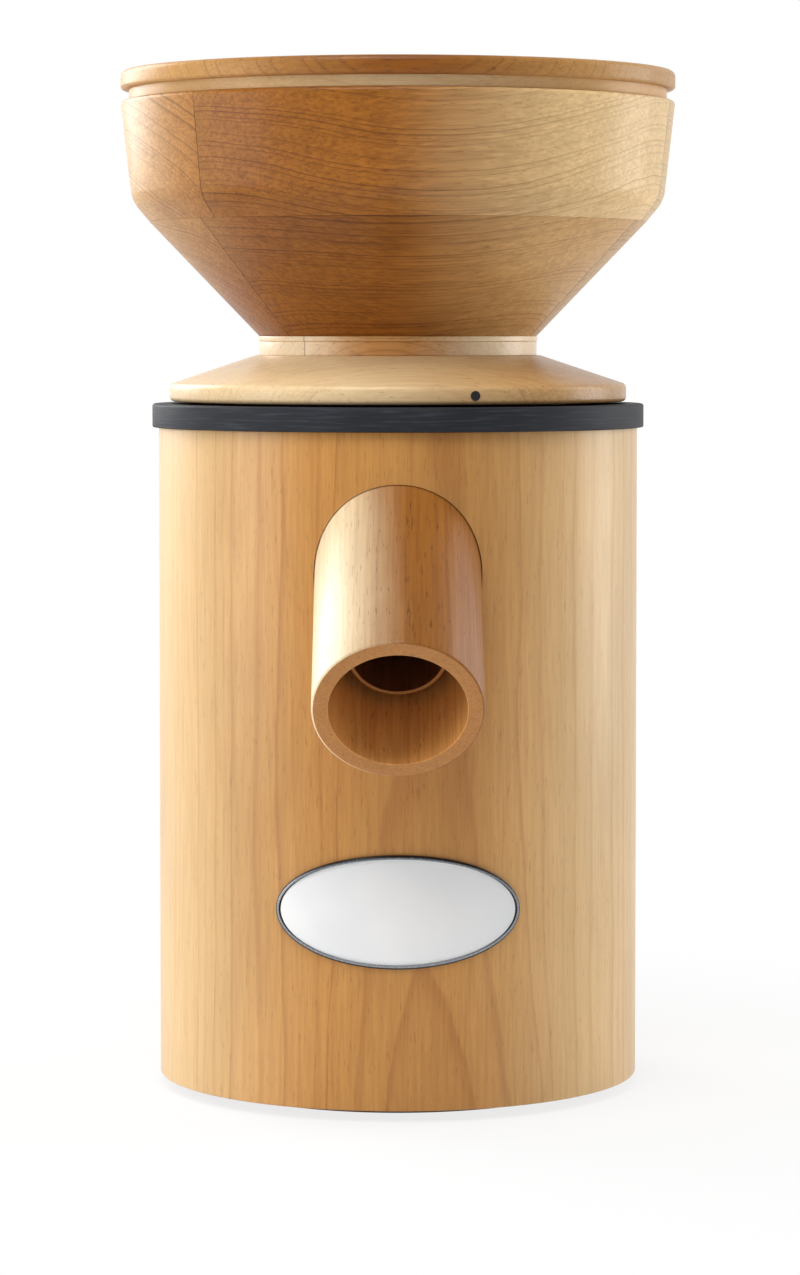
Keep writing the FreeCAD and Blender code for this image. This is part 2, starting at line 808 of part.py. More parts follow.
def bearings():
    outer_rings = []
    inner_rings = []
    inner_top = bearing_bore + bearing_race
    for low in (lower_bearing, upper_bearing):
        high = low + bearing_width
        shield = inner_top + shield_gap
        race = bearing_outer - bearing_race
        outer_rings.append(turned([
            (shield, low), (bearing_outer, low), (bearing_outer, high), (shield, high),
            (shield, high - shield_thickness), (race, high - shield_thickness),
            (race, low + shield_thickness), (shield, low + shield_thickness)]))
        inner_rings.append(pipe(inner_top, bearing_bore, low, high))
    save("bearing_outer_rings", *outer_rings)
    save("bearing_inner_rings", *inner_rings)


def motor_shell():
    inner = motor_radius - bell_wall
    seat_top = upper_bearing + bearing_width
    low_seat_top = lower_bearing + bearing_width
    web_top = motor_bottom + low_bell_web
    hub = bearing_outer + low_hub_wall
    eye = shaft_step + low_shaft_play
    upper = turned([
        (bearing_outer - bell_lip, motor_top), (neck_flange_radius, motor_top),
        (neck_flange_radius, bell_top),
        (motor_radius, bell_top, bell_round), (motor_radius, stack_top), (inner, stack_top),
        (inner, bell_top - bell_web), (bearing_outer, bell_top - bell_web), (bearing_outer, seat_top),
        (bearing_outer - bell_lip, seat_top)])
    lower = turned([
        (eye, motor_bottom), (motor_radius, motor_bottom, bell_round), (motor_radius, stack_bottom),
        (inner, stack_bottom), (inner, web_top), (hub, web_top), (hub, low_seat_top),
        (bearing_outer, low_seat_top), (bearing_outer, lower_bearing), (eye, lower_bearing)])
    depth = 4 * bell_wall
    high_window = block(motor_radius, 0, stack_top + window_margin, depth, window_width, window_height)
    low_window = block(motor_radius, 0, stack_bottom - window_margin - window_height, depth,
                       window_width, window_height)
    bolt_hole = post(bolt_radius, bolt_circle, 0, motor_bottom, bell_top)
    holes = around(bolt_hole, bolt_count)
    upper = without(upper, around(high_window, window_count, window_start) + holes + motor_fixings())
    lower = without(lower, around(low_window, window_count, window_start) + holes)
    save("motor_upper_bell", upper)
    save("motor_lower_bell", lower)
    bore = rotor_radius + air_gap
    stack = pipe(motor_radius, bore, stack_bottom, stack_top)
    mouth = Part.makeBox(slot_mouth_depth, slot_mouth, stack_height,
                         Vector(bore - slot_mouth_depth / 2, -slot_mouth / 2, stack_bottom))
    pocket = Part.makeBox(slot_depth, slot_width, stack_height,
                          Vector(winding_inner - slot_end_play, -slot_width / 2, stack_bottom))
    slots = around(mouth.fuse(pocket), slot_count, slot_start)
    save("stator_stack", without(stack, slots + holes))
    bar = Part.makeBox(slot_depth - slot_end_play - slot_lining, slot_width - 2 * slot_lining,
                       stack_height + 2 * winding_overlap,
                       Vector(winding_inner, slot_lining - slot_width / 2, stack_bottom - winding_overlap))
    heads = []
    for low in (stack_bottom - winding_height, stack_top):
        heads.append(turned([
            (winding_inner, low, winding_round), (winding_outer, low, winding_round),
            (winding_outer, low + winding_height, winding_round),
            (winding_inner, low + winding_height, winding_round)]))
    save("stator_windings", joined(heads[0], [heads[1]] + around(bar, slot_count, slot_start)))
    bolt = post(bolt_radius, bolt_circle, 0, motor_bottom, bell_top + bolt_head_height)
    head = post(bolt_head_radius, bolt_circle, 0, motor_bottom - bolt_head_height, motor_bottom)
    save("motor_bolts", *around(bolt.fuse(head), bolt_count))
    nut = post(bolt_head_radius, bolt_circle, 0, bell_top, bell_top + bolt_head_height)
    nut = nut.cut(post(bolt_radius, bolt_circle, 0, bell_top, bell_top + bolt_head_height))
    save("motor_nuts", *around(nut, bolt_count))
    save("motor_screws", *motor_fixings())


def base_electrics():
    middle = base_top + capacitor_radius + clip_sheet
    can = Part.makeCylinder(capacitor_radius, capacitor_length,
                            Vector(-capacitor_length / 2, capacitor_y, middle), Vector(1, 0, 0))
    rims = [edge for edge in can.Edges if isinstance(edge.Curve, Part.Circle)]
    save("capacitor", can.makeChamfer(capacitor_chamfer, rims))
    outer = capacitor_radius + clip_sheet
    start = Vector(-clip_width / 2, capacitor_y, middle)
    strap = Part.makeCylinder(outer, clip_width, start, Vector(1, 0, 0))
    strap = strap.fuse(block(0, capacitor_y, base_top, clip_width, 2 * outer, middle - base_top))
    strap = strap.fuse(block(0, capacitor_y, base_top, clip_width, 2 * (outer + clip_foot), clip_sheet))
    strap = strap.cut(Part.makeCylinder(capacitor_radius, clip_width, start, Vector(1, 0, 0)))
    inside = block(0, capacitor_y, base_top, clip_width, 2 * capacitor_radius, middle - base_top)
    strap = strap.cut(inside)
    save("capacitor_clip", strap)
    width, depth, height = terminal_size
    terminal = block(terminal_x, terminal_y, base_top, width, depth, height)
    floor = base_top + terminal_hole_floor
    holes = [post(terminal_hole, terminal_x + i * terminal_pitch, terminal_y, floor, base_top + height)
             for i in (-1, 0, 1)]
    save("terminal_block", without(terminal, holes))


def rear_box(width, height, centre_z, near_y, far_y):
    return Part.makeBox(width, far_y - near_y, height, Vector(-width / 2, near_y, centre_z - height / 2))


def rear_rod(radius, x, z, near_y, far_y):
    return Part.makeCylinder(radius, far_y - near_y, Vector(x, near_y, z), Vector(0, 1, 0))


def panel_screw_places():
    side = panel_width / 2 - panel_screw_inset
    low = panel_base_z + panel_screw_low_inset
    high = panel_base_z + panel_height - panel_screw_inset
    return [(-side, low), (side, low), (-side, high), (side, high)]


def inlet_screw_places():
    return [(-inlet_screw_pitch / 2, inlet_z), (inlet_screw_pitch / 2, inlet_z)]


def rear_cutouts(near_y, far_y):
    """Cut-outs for the switch and the inlet."""
    wide = 2 * cutout_play
    switch = rear_box(switch_body[0] + wide, switch_body[1] + wide, switch_z, near_y, far_y)
    return [switch, rear_box(inlet_body[0] + wide, inlet_body[1] + wide, inlet_z, near_y, far_y)]


def rear_panel():
    middle = panel_base_z + panel_height / 2
    panel = rear_box(panel_width, panel_height, middle, panel_seat_y, panel_face_y)
    upright = [edge for edge in panel.Edges if edge.BoundBox.YLength > panel_thickness / 2]
    panel = panel.makeFillet(panel_round, upright)
    panel = without(panel, rear_cutouts(panel_seat_y, panel_face_y))
    places = panel_screw_places()
    panel = without(panel, [rear_rod(panel_screw_radius, x, z, panel_seat_y, panel_face_y)
                            for x, z in places + inlet_screw_places()])
    save("rear_panel", panel)
    screws = []
    for x, z in places:
        shank = rear_rod(panel_screw_radius, x, z, panel_face_y - panel_screw_length, panel_face_y)
        head = rear_rod(panel_head_radius, x, z, panel_face_y, panel_face_y + rear_head_height)
        screws.append(shank.fuse(head))
    save("panel_screws", *screws)


def rocker_switch():
    width, height, depth = switch_body
    housing = rear_box(width, height, switch_z, panel_face_y - depth, panel_face_y)
    housing = housing.fuse(rear_box(bezel[0], bezel[1], switch_z, panel_face_y, panel_face_y + bezel[2]))
    well_floor = panel_face_y - switch_well_depth + bezel[2]
    well = rear_box(switch_well[0], switch_well[1], switch_z, well_floor, panel_face_y + bezel[2])
    housing = housing.cut(well)
    pivot_y = panel_face_y - rocker_pivot_sink
    reach = rocker_width / 2 + rocker_bore_reach
    bore = Part.makeCylinder(rocker_pin + rocker_pin_play, 2 * reach, Vector(-reach, pivot_y, switch_z),
                             Vector(1, 0, 0))
    save("switch_housing", housing.cut(bore))
    shape = [(-rocker_back, -rocker_back_half), (rocker_lip, -rocker_half), (rocker_rise, -rocker_half),
             (rocker_middle_rise, 0), (rocker_rise, rocker_half), (rocker_lip, rocker_half),
             (-rocker_back, rocker_back_half)]
    corners = [Vector(-rocker_width / 2, pivot_y + out, switch_z + up) for out, up in shape]
    key = Part.Face(Part.makePolygon(corners + [corners[0]])).extrude(Vector(rocker_width, 0, 0))
    reach = rocker_width / 2 + rocker_pin_reach
    pin = Part.makeCylinder(rocker_pin, 2 * reach, Vector(-reach, pivot_y, switch_z), Vector(1, 0, 0))
    key = key.fuse(pin)
    key.rotate(Vector(0, pivot_y, switch_z), Vector(1, 0, 0), rocker_turn / 2)
    save("switch_rocker", key)


def appliance_inlet():
    width, height, depth = inlet_body
    back = panel_face_y - depth
    front = inlet_front_y
    floor = front - inlet_socket[2]
    body = rear_box(width, height, inlet_z, back, panel_face_y)
    flange = rear_box(inlet_flange[0], inlet_flange[1], inlet_z, panel_face_y, front)
    upright = [edge for edge in flange.Edges if edge.BoundBox.YLength > inlet_flange[2] / 2]
    body = body.fuse(flange.makeFillet(inlet_flange_round, upright))
    socket = rear_box(inlet_socket[0], inlet_socket[1], inlet_z, floor, front)
    high_edges = [edge for edge in socket.Edges
                  if edge.BoundBox.YLength > inlet_socket[2] / 2 and edge.BoundBox.ZMax > inlet_z]
    body = body.cut(socket.makeChamfer(inlet_socket_chamfer, high_edges))
    pin_back = back - inlet_pin_tail
    pins = []
    for i in (-1, 0, 1):
        row = inlet_z + (inlet_pin_row if i == 0 else -inlet_pin_row)
        corner = Vector(i * inlet_pin_pitch - inlet_pin_width / 2, pin_back, row - inlet_pin_height / 2)
        length = front - inlet_pin_recess - pin_back
        pins.append(Part.makeBox(inlet_pin_width, length, inlet_pin_height, corner))
    places = inlet_screw_places()
    holes = [rear_rod(panel_screw_radius, x, z, panel_face_y, front) for x, z in places]
    save("inlet_housing", without(body, pins + holes))
    save("inlet_pins", *pins)
    screws = []
    for x, z in places:
        shank = rear_rod(panel_screw_radius, x, z, front - inlet_screw_length, front)
        screws.append(shank.fuse(rear_rod(inlet_head_radius, x, z, front, front + rear_head_height)))
    save("inlet_screws", *screws)


def oval(width, height):
    face = Part.Face(Part.Wire(Part.Ellipse(Vector(0, 0, 0), width / 2, height / 2).toShape()))
    face.rotate(ORIGIN, Vector(1, 0, 0), 90)
    face.translate(Vector(0, -body_radius / 2, badge_z))
    return face.extrude(Vector(0, -body_radius, 0))


def badge():
    low = badge_z - badge_height
    high = badge_z + badge_height
    seat = body_radius + badge_film
    inside = oval(badge_width - 2 * badge_bezel_width, badge_height - 2 * badge_bezel_width)
    plate = pipe(seat + badge_thickness, seat, low, high).common(inside)
    save("badge_plate", plate)
    rim = pipe(seat + badge_thickness + badge_bezel_proud, seat, low, high)
    save("badge_bezel", rim.common(oval(badge_width, badge_height)).cut(inside))


def build():
    os.makedirs("parts", exist_ok=True)
    foot_and_base()
    body_tube()
    top_ring()
    grinding_chamber()
    spout_and_chute()
    fixings = hopper_fixings()
    setting_collar(threaded_ring(), fixings)
    hopper(fixings)
    save("hopper_screws", *fixings)
    lid()
    washer_top = stones()
    springs()
    shaft_and_rotor(washer_top)
    bearings()
    motor_shell()
    base_electrics()
    rear_panel()
    rocker_switch()
    appliance_inlet()
    badge()


build()
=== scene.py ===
import bpy
import bmesh
import json
import math
from mathutils import Matrix, Vector


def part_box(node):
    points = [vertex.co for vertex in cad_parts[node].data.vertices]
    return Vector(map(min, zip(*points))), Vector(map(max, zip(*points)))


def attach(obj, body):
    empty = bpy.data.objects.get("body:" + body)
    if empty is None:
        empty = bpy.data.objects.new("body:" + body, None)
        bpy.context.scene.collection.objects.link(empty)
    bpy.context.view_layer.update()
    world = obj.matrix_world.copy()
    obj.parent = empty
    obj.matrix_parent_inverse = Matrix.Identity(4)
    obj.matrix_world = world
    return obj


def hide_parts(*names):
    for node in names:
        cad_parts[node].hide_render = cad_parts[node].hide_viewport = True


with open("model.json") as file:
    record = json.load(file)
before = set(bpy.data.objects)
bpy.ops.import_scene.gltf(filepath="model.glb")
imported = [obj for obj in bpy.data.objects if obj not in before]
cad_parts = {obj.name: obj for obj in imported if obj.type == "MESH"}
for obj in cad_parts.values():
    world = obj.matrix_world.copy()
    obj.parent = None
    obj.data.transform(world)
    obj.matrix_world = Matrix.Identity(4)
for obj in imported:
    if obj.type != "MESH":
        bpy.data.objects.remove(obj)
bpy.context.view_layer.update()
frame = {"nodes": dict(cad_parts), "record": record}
nodes = frame["nodes"]
bpy.ops.object.select_all(action="DESELECT")
print("frame loaded:", len(nodes), "nodes")

mm = 0.001
tiny = 1e-6  # metres: vertices closer than this are one


# camera: the photograph is 800 x 1275 and looks slightly down at the front
camera = dict(distance=1.540, height=0.281, pitchDown=3.0, lens=116.58, sensor=36.0, shiftX=0.0016,
              shiftY=-0.072)
cameraData = bpy.data.cameras.new("camera")
cameraData.sensor_fit = "AUTO"
cameraData.sensor_width = camera["sensor"]
cameraData.lens = camera["lens"]
cameraData.shift_x = camera["shiftX"]
cameraData.shift_y = camera["shiftY"]
cameraObject = bpy.data.objects.new("camera", cameraData)
cameraObject.location = (0, -camera["distance"], camera["height"])
cameraObject.rotation_euler = (math.radians(90 - camera["pitchDown"]), 0, 0)
bpy.context.scene.collection.objects.link(cameraObject)
bpy.context.scene.camera = cameraObject
print("camera set")


# modelling helpers
bevelSteps = dict(small=5, large=12, largeFrom=4.0)  # a rounding from 4 mm on gets more steps


def activate(piece):
    bpy.ops.object.select_all(action="DESELECT")
    piece.select_set(True)
    bpy.context.view_layer.objects.active = piece


def nameActive(name):
    piece = bpy.context.active_object
    piece.name = name
    piece.data.name = name
    return piece


def pickVerts(piece, test):
    # selects in edit mode the vertices whose place passes the test
    mesh = bmesh.from_edit_mesh(piece.data)
    for vert in mesh.verts:
        vert.select = test(vert.co)
    mesh.select_flush_mode()
    bmesh.update_edit_mesh(piece.data)


def pickEdges(piece, test):
    # the same for edges, by the places of both ends
    mesh = bmesh.from_edit_mesh(piece.data)
    for vert in mesh.verts:
        vert.select = False
    for edge in mesh.edges:
        edge.select = test(edge.verts[0].co, edge.verts[1].co)
    bmesh.update_edit_mesh(piece.data)


def selectAll():
    bpy.ops.mesh.select_all(action="SELECT")


def faceOutwards():
    selectAll()
    bpy.ops.mesh.normals_make_consistent(inside=False)


def drawOutline(name, corners):
    # wire outline in the XZ plane; a corner is (radius, height) or (radius, height, rounding), all in mm
    bpy.ops.mesh.primitive_plane_add(size=mm, location=(0, 0, 0))
    piece = nameActive(name)
    bpy.ops.object.mode_set(mode="EDIT")
    bpy.ops.mesh.select_mode(type="VERT")
    selectAll()
    bpy.ops.mesh.merge(type="CENTER")
    places = [Vector((corner[0] * mm, 0, corner[1] * mm)) for corner in corners]
    bpy.ops.transform.translate(value=places[0])
    for i in range(1, len(places)):
        bpy.ops.mesh.extrude_vertices_move(TRANSFORM_OT_translate={"value": places[i] - places[i - 1]})
    ends = (places[0], places[-1])
    pickVerts(piece, lambda co: min((co - end).length for end in ends) < tiny)
    bpy.ops.mesh.edge_face_add()
    for i, corner in enumerate(corners):
        if len(corner) < 3:
            continue
        before = (places[i - 1] - places[i]).normalized()
        after = (places[(i + 1) % len(places)] - places[i]).normalized()
        reach = corner[2] * mm / math.tan(before.angle(after) / 2)
        steps = bevelSteps["small" if corner[2] < bevelSteps["largeFrom"] else "large"]
        place = places[i]
        pickVerts(piece, lambda co: (co - place).length < tiny)
        bpy.ops.mesh.bevel(offset=reach, segments=steps, affect="VERTICES")
    return piece


def spinOutline(piece, steps, degrees=360.0):
    # turns the outline round the mill's axis, as on a lathe, and closes the ends of a stave
    selectAll()
    bpy.ops.mesh.spin(steps=steps, angle=math.radians(degrees), center=(0, 0, 0), axis=(0, 0, -1))
    selectAll()
    bpy.ops.mesh.remove_doubles(threshold=2 * tiny)
    if degrees < 360:
        bpy.ops.mesh.select_all(action="DESELECT")
        bpy.ops.mesh.select_non_manifold()
        bpy.ops.mesh.fill_holes(sides=0)
    faceOutwards()
    bpy.ops.object.mode_set(mode="OBJECT")


def turnPiece(piece, degrees):
    # turns the mesh about the mill's axis and leaves the object unturned
    activate(piece)
    piece.rotation_euler = (0, 0, math.radians(degrees))
    bpy.ops.object.transform_apply(location=False, rotation=True, scale=False)


def smooth(piece, degrees=32):
    activate(piece)
    bpy.ops.object.shade_smooth_by_angle(angle=math.radians(degrees))


def copyPiece(piece, name):
    activate(piece)
    bpy.ops.object.duplicate(linked=False)
    return nameActive(name)


def applyModifier(piece, kind, **settings):
    activate(piece)
    modifier = piece.modifiers.new(kind.lower(), kind)
    for name, value in settings.items():
        setattr(modifier, name, value)
    bpy.ops.object.modifier_apply(modifier=modifier.name)


def cutAway(piece, cutter):
    applyModifier(piece, "BOOLEAN", operation="DIFFERENCE", solver="EXACT", object=cutter)
    bpy.data.objects.remove(cutter, do_unlink=True)


def boxCutter(centre, size):
    # centre and size in mm
    bpy.ops.mesh.primitive_cube_add(size=1, location=[c * mm for c in centre], scale=[c * mm for c in size])
    return bpy.context.active_object


def rodCutter(radius, length, vertices=192):
    # upright round the mill's axis; radius and length in mm
    bpy.ops.mesh.primitive_cylinder_add(radius=radius * mm, depth=length * mm, vertices=vertices,
                                        location=(0, 0, 0))
    return bpy.context.active_object


def finishPiece(piece, body, materials, replaced):
    indices = [face.material_index for face in piece.data.polygons]
    piece.data.materials.clear()
    for material in materials:
        piece.data.materials.append(material)
    piece.data.polygons.foreach_set("material_index", indices)
    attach(piece, body)
    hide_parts(*replaced)
    print("made", piece.name, len(piece.data.polygons), "faces")


# node helpers
def feed(tree, socket, value):
    # a socket's value is a link from another socket, or a number or colour
    if isinstance(value, bpy.types.NodeSocket):
        tree.links.new(value, socket)
    else:
        socket.default_value = value


def feedAll(tree, node, inputs):
    for name, value in inputs.items():
        feed(tree, node.inputs[name], value)


def put(tree, kind, inputs=None, **settings):
    node = tree.nodes.new("ShaderNode" + kind)
    for name, value in settings.items():
        setattr(node, name, value)
    feedAll(tree, node, inputs or {})
    return node


def calc(tree, operation, first, second=0.0, third=0.0, clamp=False):
    node = put(tree, "Math", operation=operation, use_clamp=clamp)
    for socket, value in zip(node.inputs, (first, second, third)):
        feed(tree, socket, value)
    return node.outputs[0]


def mixColor(tree, factor, first, second, mode="MIX"):
    # sockets 0, 6 and 7 of a Mix node are its factor and its two colours
    node = put(tree, "Mix", data_type="RGBA", blend_type=mode, inputs={0: factor, 6: first, 7: second})
    return node.outputs[2]


def remap(tree, value, low, high, lowTo=0.0, highTo=1.0, kind="SMOOTHSTEP"):
    return put(tree, "MapRange", interpolation_type=kind, inputs={
        "Value": value, "From Min": low, "From Max": high, "To Min": lowTo, "To Max": highTo}).outputs[0]


def noise(tree, vector, scale, detail=2.0, roughness=0.5, stretch=None):
    # a stretch below 1 draws the pattern out along that axis
    if stretch:
        vector = put(tree, "VectorMath", operation="MULTIPLY", inputs={0: vector, 1: stretch}).outputs[0]
    return put(tree, "TexNoise", inputs={
        "Vector": vector, "Scale": scale, "Detail": detail, "Roughness": roughness}).outputs[0]


def chancePer(tree, value):
    # one random number for each whole number
    number = calc(tree, "FLOOR", value)
    return put(tree, "TexWhiteNoise", noise_dimensions="1D", inputs={"W": number}).outputs["Value"]


def splitAxes(tree, vector):
    return put(tree, "SeparateXYZ", inputs={"Vector": vector}).outputs


def joinAxes(tree, x, y, z):
    return put(tree, "CombineXYZ", inputs={"X": x, "Y": y, "Z": z}).outputs[0]


def fromAxis(tree, parts):
    # distance from the Z axis
    return put(tree, "VectorMath", operation="LENGTH", inputs={
        0: joinAxes(tree, parts[0], parts[1], 0.0)}).outputs["Value"]


def startGroup(name, inputs, outputs):
    # inputs and outputs give the kind of each socket
    group = bpy.data.node_groups.new(name, "ShaderNodeTree")
    for way, sockets in (("INPUT", inputs), ("OUTPUT", outputs)):
        for label, kind in sockets.items():
            group.interface.new_socket(label, in_out=way, socket_type="NodeSocket" + kind)
    entry = group.nodes.new("NodeGroupInput")
    leave = group.nodes.new("NodeGroupOutput")
    return group, entry.outputs, leave.inputs


def useGroup(tree, group, inputs):
    return put(tree, "Group", inputs, node_tree=group).outputs


def newMaterial(name, roughness=0.5, metallic=0.0):
    material = bpy.data.materials.new(name)
    material.use_nodes = True
    tree = material.node_tree
    tree.nodes.clear()
    output = tree.nodes.new("ShaderNodeOutputMaterial")
    shader = put(tree, "BsdfPrincipled", inputs={"Roughness": roughness, "Metallic": metallic})
    tree.links.new(shader.outputs[0], output.inputs[0])
    return material, tree, shader


def objectPlace(tree):
    return put(tree, "TexCoord").outputs["Object"]


def addBump(tree, shader, height, distance):
    # distance in mm
    bump = put(tree, "Bump", inputs={"Height": height, "Distance": distance * mm, "Strength": 1.0})
    tree.links.new(bump.outputs[0], shader.inputs["Normal"])


def varyRoughness(tree, shader, value, amount, roughness):
    # the value moves the roughness by half the amount to each side
    rough = calc(tree, "MULTIPLY_ADD", value, amount, roughness - amount / 2)
    tree.links.new(rough, shader.inputs["Roughness"])


def rgb(red, green, blue):
    # screen colour 0..255 to the linear value that a node holds
    linear = [c / 255 / 12.92 if c <= 10 else ((c / 255 + 0.055) / 1.055) ** 2.4 for c in (red, green, blue)]
    return (*linear, 1.0)


def lookColor(tree, factor, look):
    return mixColor(tree, factor, rgb(*look["low"]), rgb(*look["high"]))


# noise in the wood: stretch along the grain, scale, detail and roughness
grainNoise = dict(wobble=(0.22, 16, 2.0, 0.45), ripple=(0.35, 75, 2.0, 0.5), fibre=(0.03, 900, 3.0, 0.6),
                  coarse=(0.05, 260, 2.0, 0.55), fleck=(0.12, 1500, 1.0, 0.5), blotch=(0.5, 14, 3.0, 0.55))
# from where to where each noise turns dark, what it adds to the height, and what to the roughness
grainDark = dict(fibre=(0.35, 0.7), coarse=(0.4, 0.75), fleck=(0.62, 0.74))
grainHeight = dict(fibre=0.7, fleck=-0.6, line=-0.2)
grainRough = dict(fibre=0.18, line=0.06)
# a ring's line darkens slowly, more sharply at last, and ends at once; some lines are weaker
ringLine = dict(rise=(0.25, 0.92), fall=(0.93, 1.0), power=12.0, soft=0.16, sharp=0.84, weakest=0.25,
                rippleShare=0.12, unevenScale=0.37, uneven=3.0)


# wood figure: growth rings round the local Z axis, fibres along it
def buildWoodFigure():
    tree, given, made = startGroup("woodFigure", {
        "Vector": "Vector", "Ring Spacing": "Float", "Waviness": "Float", "Light": "Color", "Dark": "Color",
        "Line Strength": "Float", "Fibre Strength": "Float", "Fleck Strength": "Float",
        "Blotch Strength": "Float", "Roughness": "Float"},
        {"Color": "Color", "Roughness": "Float", "Height": "Float"})
    layers = {name: noise(tree, given["Vector"], scale, detail, roughness, (1, 1, stretch))
              for name, (stretch, scale, detail, roughness) in grainNoise.items()}
    wobble = calc(tree, "SUBTRACT", layers["wobble"], 0.5)
    ripple = calc(tree, "SUBTRACT", layers["ripple"], 0.5)
    distance = fromAxis(tree, splitAxes(tree, given["Vector"]))
    moved = calc(tree, "MULTIPLY_ADD", wobble, given["Waviness"], distance)
    rippleReach = calc(tree, "MULTIPLY", given["Waviness"], ringLine["rippleShare"])
    moved = calc(tree, "MULTIPLY_ADD", ripple, rippleReach, moved)
    rings = calc(tree, "DIVIDE", moved, given["Ring Spacing"])
    uneven = put(tree, "TexNoise", noise_dimensions="1D", inputs={
        "W": rings, "Scale": ringLine["unevenScale"], "Detail": 1.0}).outputs[0]
    rings = calc(tree, "MULTIPLY_ADD", uneven, ringLine["uneven"], rings)
    step = calc(tree, "FRACT", rings)
    rise = remap(tree, step, *ringLine["rise"])
    fall = remap(tree, step, *ringLine["fall"], 1.0, 0.0)
    sharp = calc(tree, "MULTIPLY", calc(tree, "POWER", rise, ringLine["power"]), ringLine["sharp"])
    line = calc(tree, "MULTIPLY", calc(tree, "MULTIPLY_ADD", rise, ringLine["soft"], sharp), fall)
    weakest = ringLine["weakest"]
    weight = calc(tree, "MULTIPLY_ADD", chancePer(tree, rings), 1 - weakest, weakest)
    line = calc(tree, "MULTIPLY", line, weight)

    shade = calc(tree, "MULTIPLY", line, given["Line Strength"])
    color = mixColor(tree, shade, given["Light"], given["Dark"])
    halfFibre = calc(tree, "MULTIPLY", given["Fibre Strength"], 0.5)
    for name, strength in (("fibre", given["Fibre Strength"]), ("coarse", halfFibre)):
        dark = remap(tree, layers[name], *grainDark[name], kind="LINEAR")
        color = mixColor(tree, calc(tree, "MULTIPLY", dark, strength), color, given["Dark"])
    fleck = remap(tree, layers["fleck"], *grainDark["fleck"])
    fleckShare = calc(tree, "MULTIPLY", fleck, given["Fleck Strength"])
    color = mixColor(tree, fleckShare, color, given["Dark"], "MULTIPLY")
    tone = calc(tree, "MULTIPLY", calc(tree, "SUBTRACT", layers["blotch"], 0.5), given["Blotch Strength"])
    tone = calc(tree, "ADD", 1.0, calc(tree, "MULTIPLY", tone, 2.0))
    toneColor = put(tree, "CombineColor", inputs={"Red": tone, "Green": tone, "Blue": tone}).outputs[0]
    feed(tree, made["Color"], mixColor(tree, 1.0, color, toneColor, "MULTIPLY"))

    fibre = layers["fibre"]
    rough = calc(tree, "MULTIPLY_ADD", calc(tree, "SUBTRACT", fibre, 0.5), grainRough["fibre"],
                 given["Roughness"])
    feed(tree, made["Roughness"], calc(tree, "MULTIPLY_ADD", line, grainRough["line"], rough))
    height = calc(tree, "MULTIPLY_ADD", fleck, grainHeight["fleck"],
                  calc(tree, "MULTIPLY", fibre, grainHeight["fibre"]))
    feed(tree, made["Height"], calc(tree, "MULTIPLY_ADD", line, grainHeight["line"], height))
    return tree


# unrolls a round body: X becomes the way round from the front, Y the depth, Z stays
def buildUnroll():
    tree, given, made = startGroup("unrollTube", {"Vector": "Vector", "Radius": "Float"},
                                   {"Vector": "Vector"})
    parts = splitAxes(tree, given["Vector"])
    angle = calc(tree, "ARCTAN2", parts[0], calc(tree, "MULTIPLY", parts[1], -1.0))
    around = calc(tree, "MULTIPLY", angle, given["Radius"])
    depth = calc(tree, "SUBTRACT", fromAxis(tree, parts), given["Radius"])
    feed(tree, made["Vector"], joinAxes(tree, around, depth, parts[2]))
    return tree


# fine rings left by the lathe: the same all the way round
def buildLatheMarks():
    tree, given, made = startGroup("latheMarks", {"Vector": "Vector", "Scale": "Float"},
                                   {"Height": "Float"})
    parts = splitAxes(tree, given["Vector"])
    profile = joinAxes(tree, fromAxis(tree, parts), 0.0, parts[2])
    feed(tree, made["Height"], noise(tree, profile, given["Scale"], 3.0, 0.65))
    return tree


# glue joint: 1 on the upright plane through the axis at this angle, 0 from the width on
def buildGlueLine():
    tree, given, made = startGroup("glueLine", {"Vector": "Vector", "Angle": "Float", "Width": "Float"},
                                    {"Mask": "Float"})
    parts = splitAxes(tree, given["Vector"])
    across = calc(tree, "MULTIPLY", calc(tree, "COSINE", given["Angle"]), parts[1])
    along = calc(tree, "MULTIPLY", calc(tree, "SINE", given["Angle"]), parts[0])
    gap = calc(tree, "ABSOLUTE", calc(tree, "SUBTRACT", across, along))
    part = calc(tree, "DIVIDE", gap, given["Width"])
    feed(tree, made["Mask"], calc(tree, "SUBTRACT", 1.0, part, clamp=True))
    return tree


# painted sheen: a paler tone that stands in for the grazing sheen and highlights on the sides of the turned
# parts; none near the upright plane X = Middle, all of it beyond the far distance; its edge sways
sheenEdge = dict(scale=22, detail=3.0, stretch=(1, 1, 0.3), sway=16.0)


def buildPaintedSheen():
    tree, given, made = startGroup("paintedSheen", {
        "Vector": "Vector", "Color": "Color", "Painted Sheen": "Color", "Middle": "Float", "Near": "Float",
        "Far": "Float", "Strength": "Float"}, {"Color": "Color"})
    parts = splitAxes(tree, given["Vector"])
    uneven = noise(tree, given["Vector"], sheenEdge["scale"], sheenEdge["detail"], stretch=sheenEdge["stretch"])
    shifted = calc(tree, "SUBTRACT", parts[0], sheenEdge["sway"] / 2 * mm)
    shifted = calc(tree, "MULTIPLY_ADD", uneven, sheenEdge["sway"] * mm, shifted)
    away = calc(tree, "ABSOLUTE", calc(tree, "SUBTRACT", shifted, given["Middle"]))
    share = calc(tree, "MULTIPLY", remap(tree, away, given["Near"], given["Far"]), given["Strength"])
    feed(tree, made["Color"], mixColor(tree, share, given["Color"], given["Painted Sheen"]))
    return tree


woodFigure = buildWoodFigure()
paintedSheen = buildPaintedSheen()
unrollTube = buildUnroll()
latheMarks = buildLatheMarks()
glueLine = buildGlueLine()
print("node groups built")
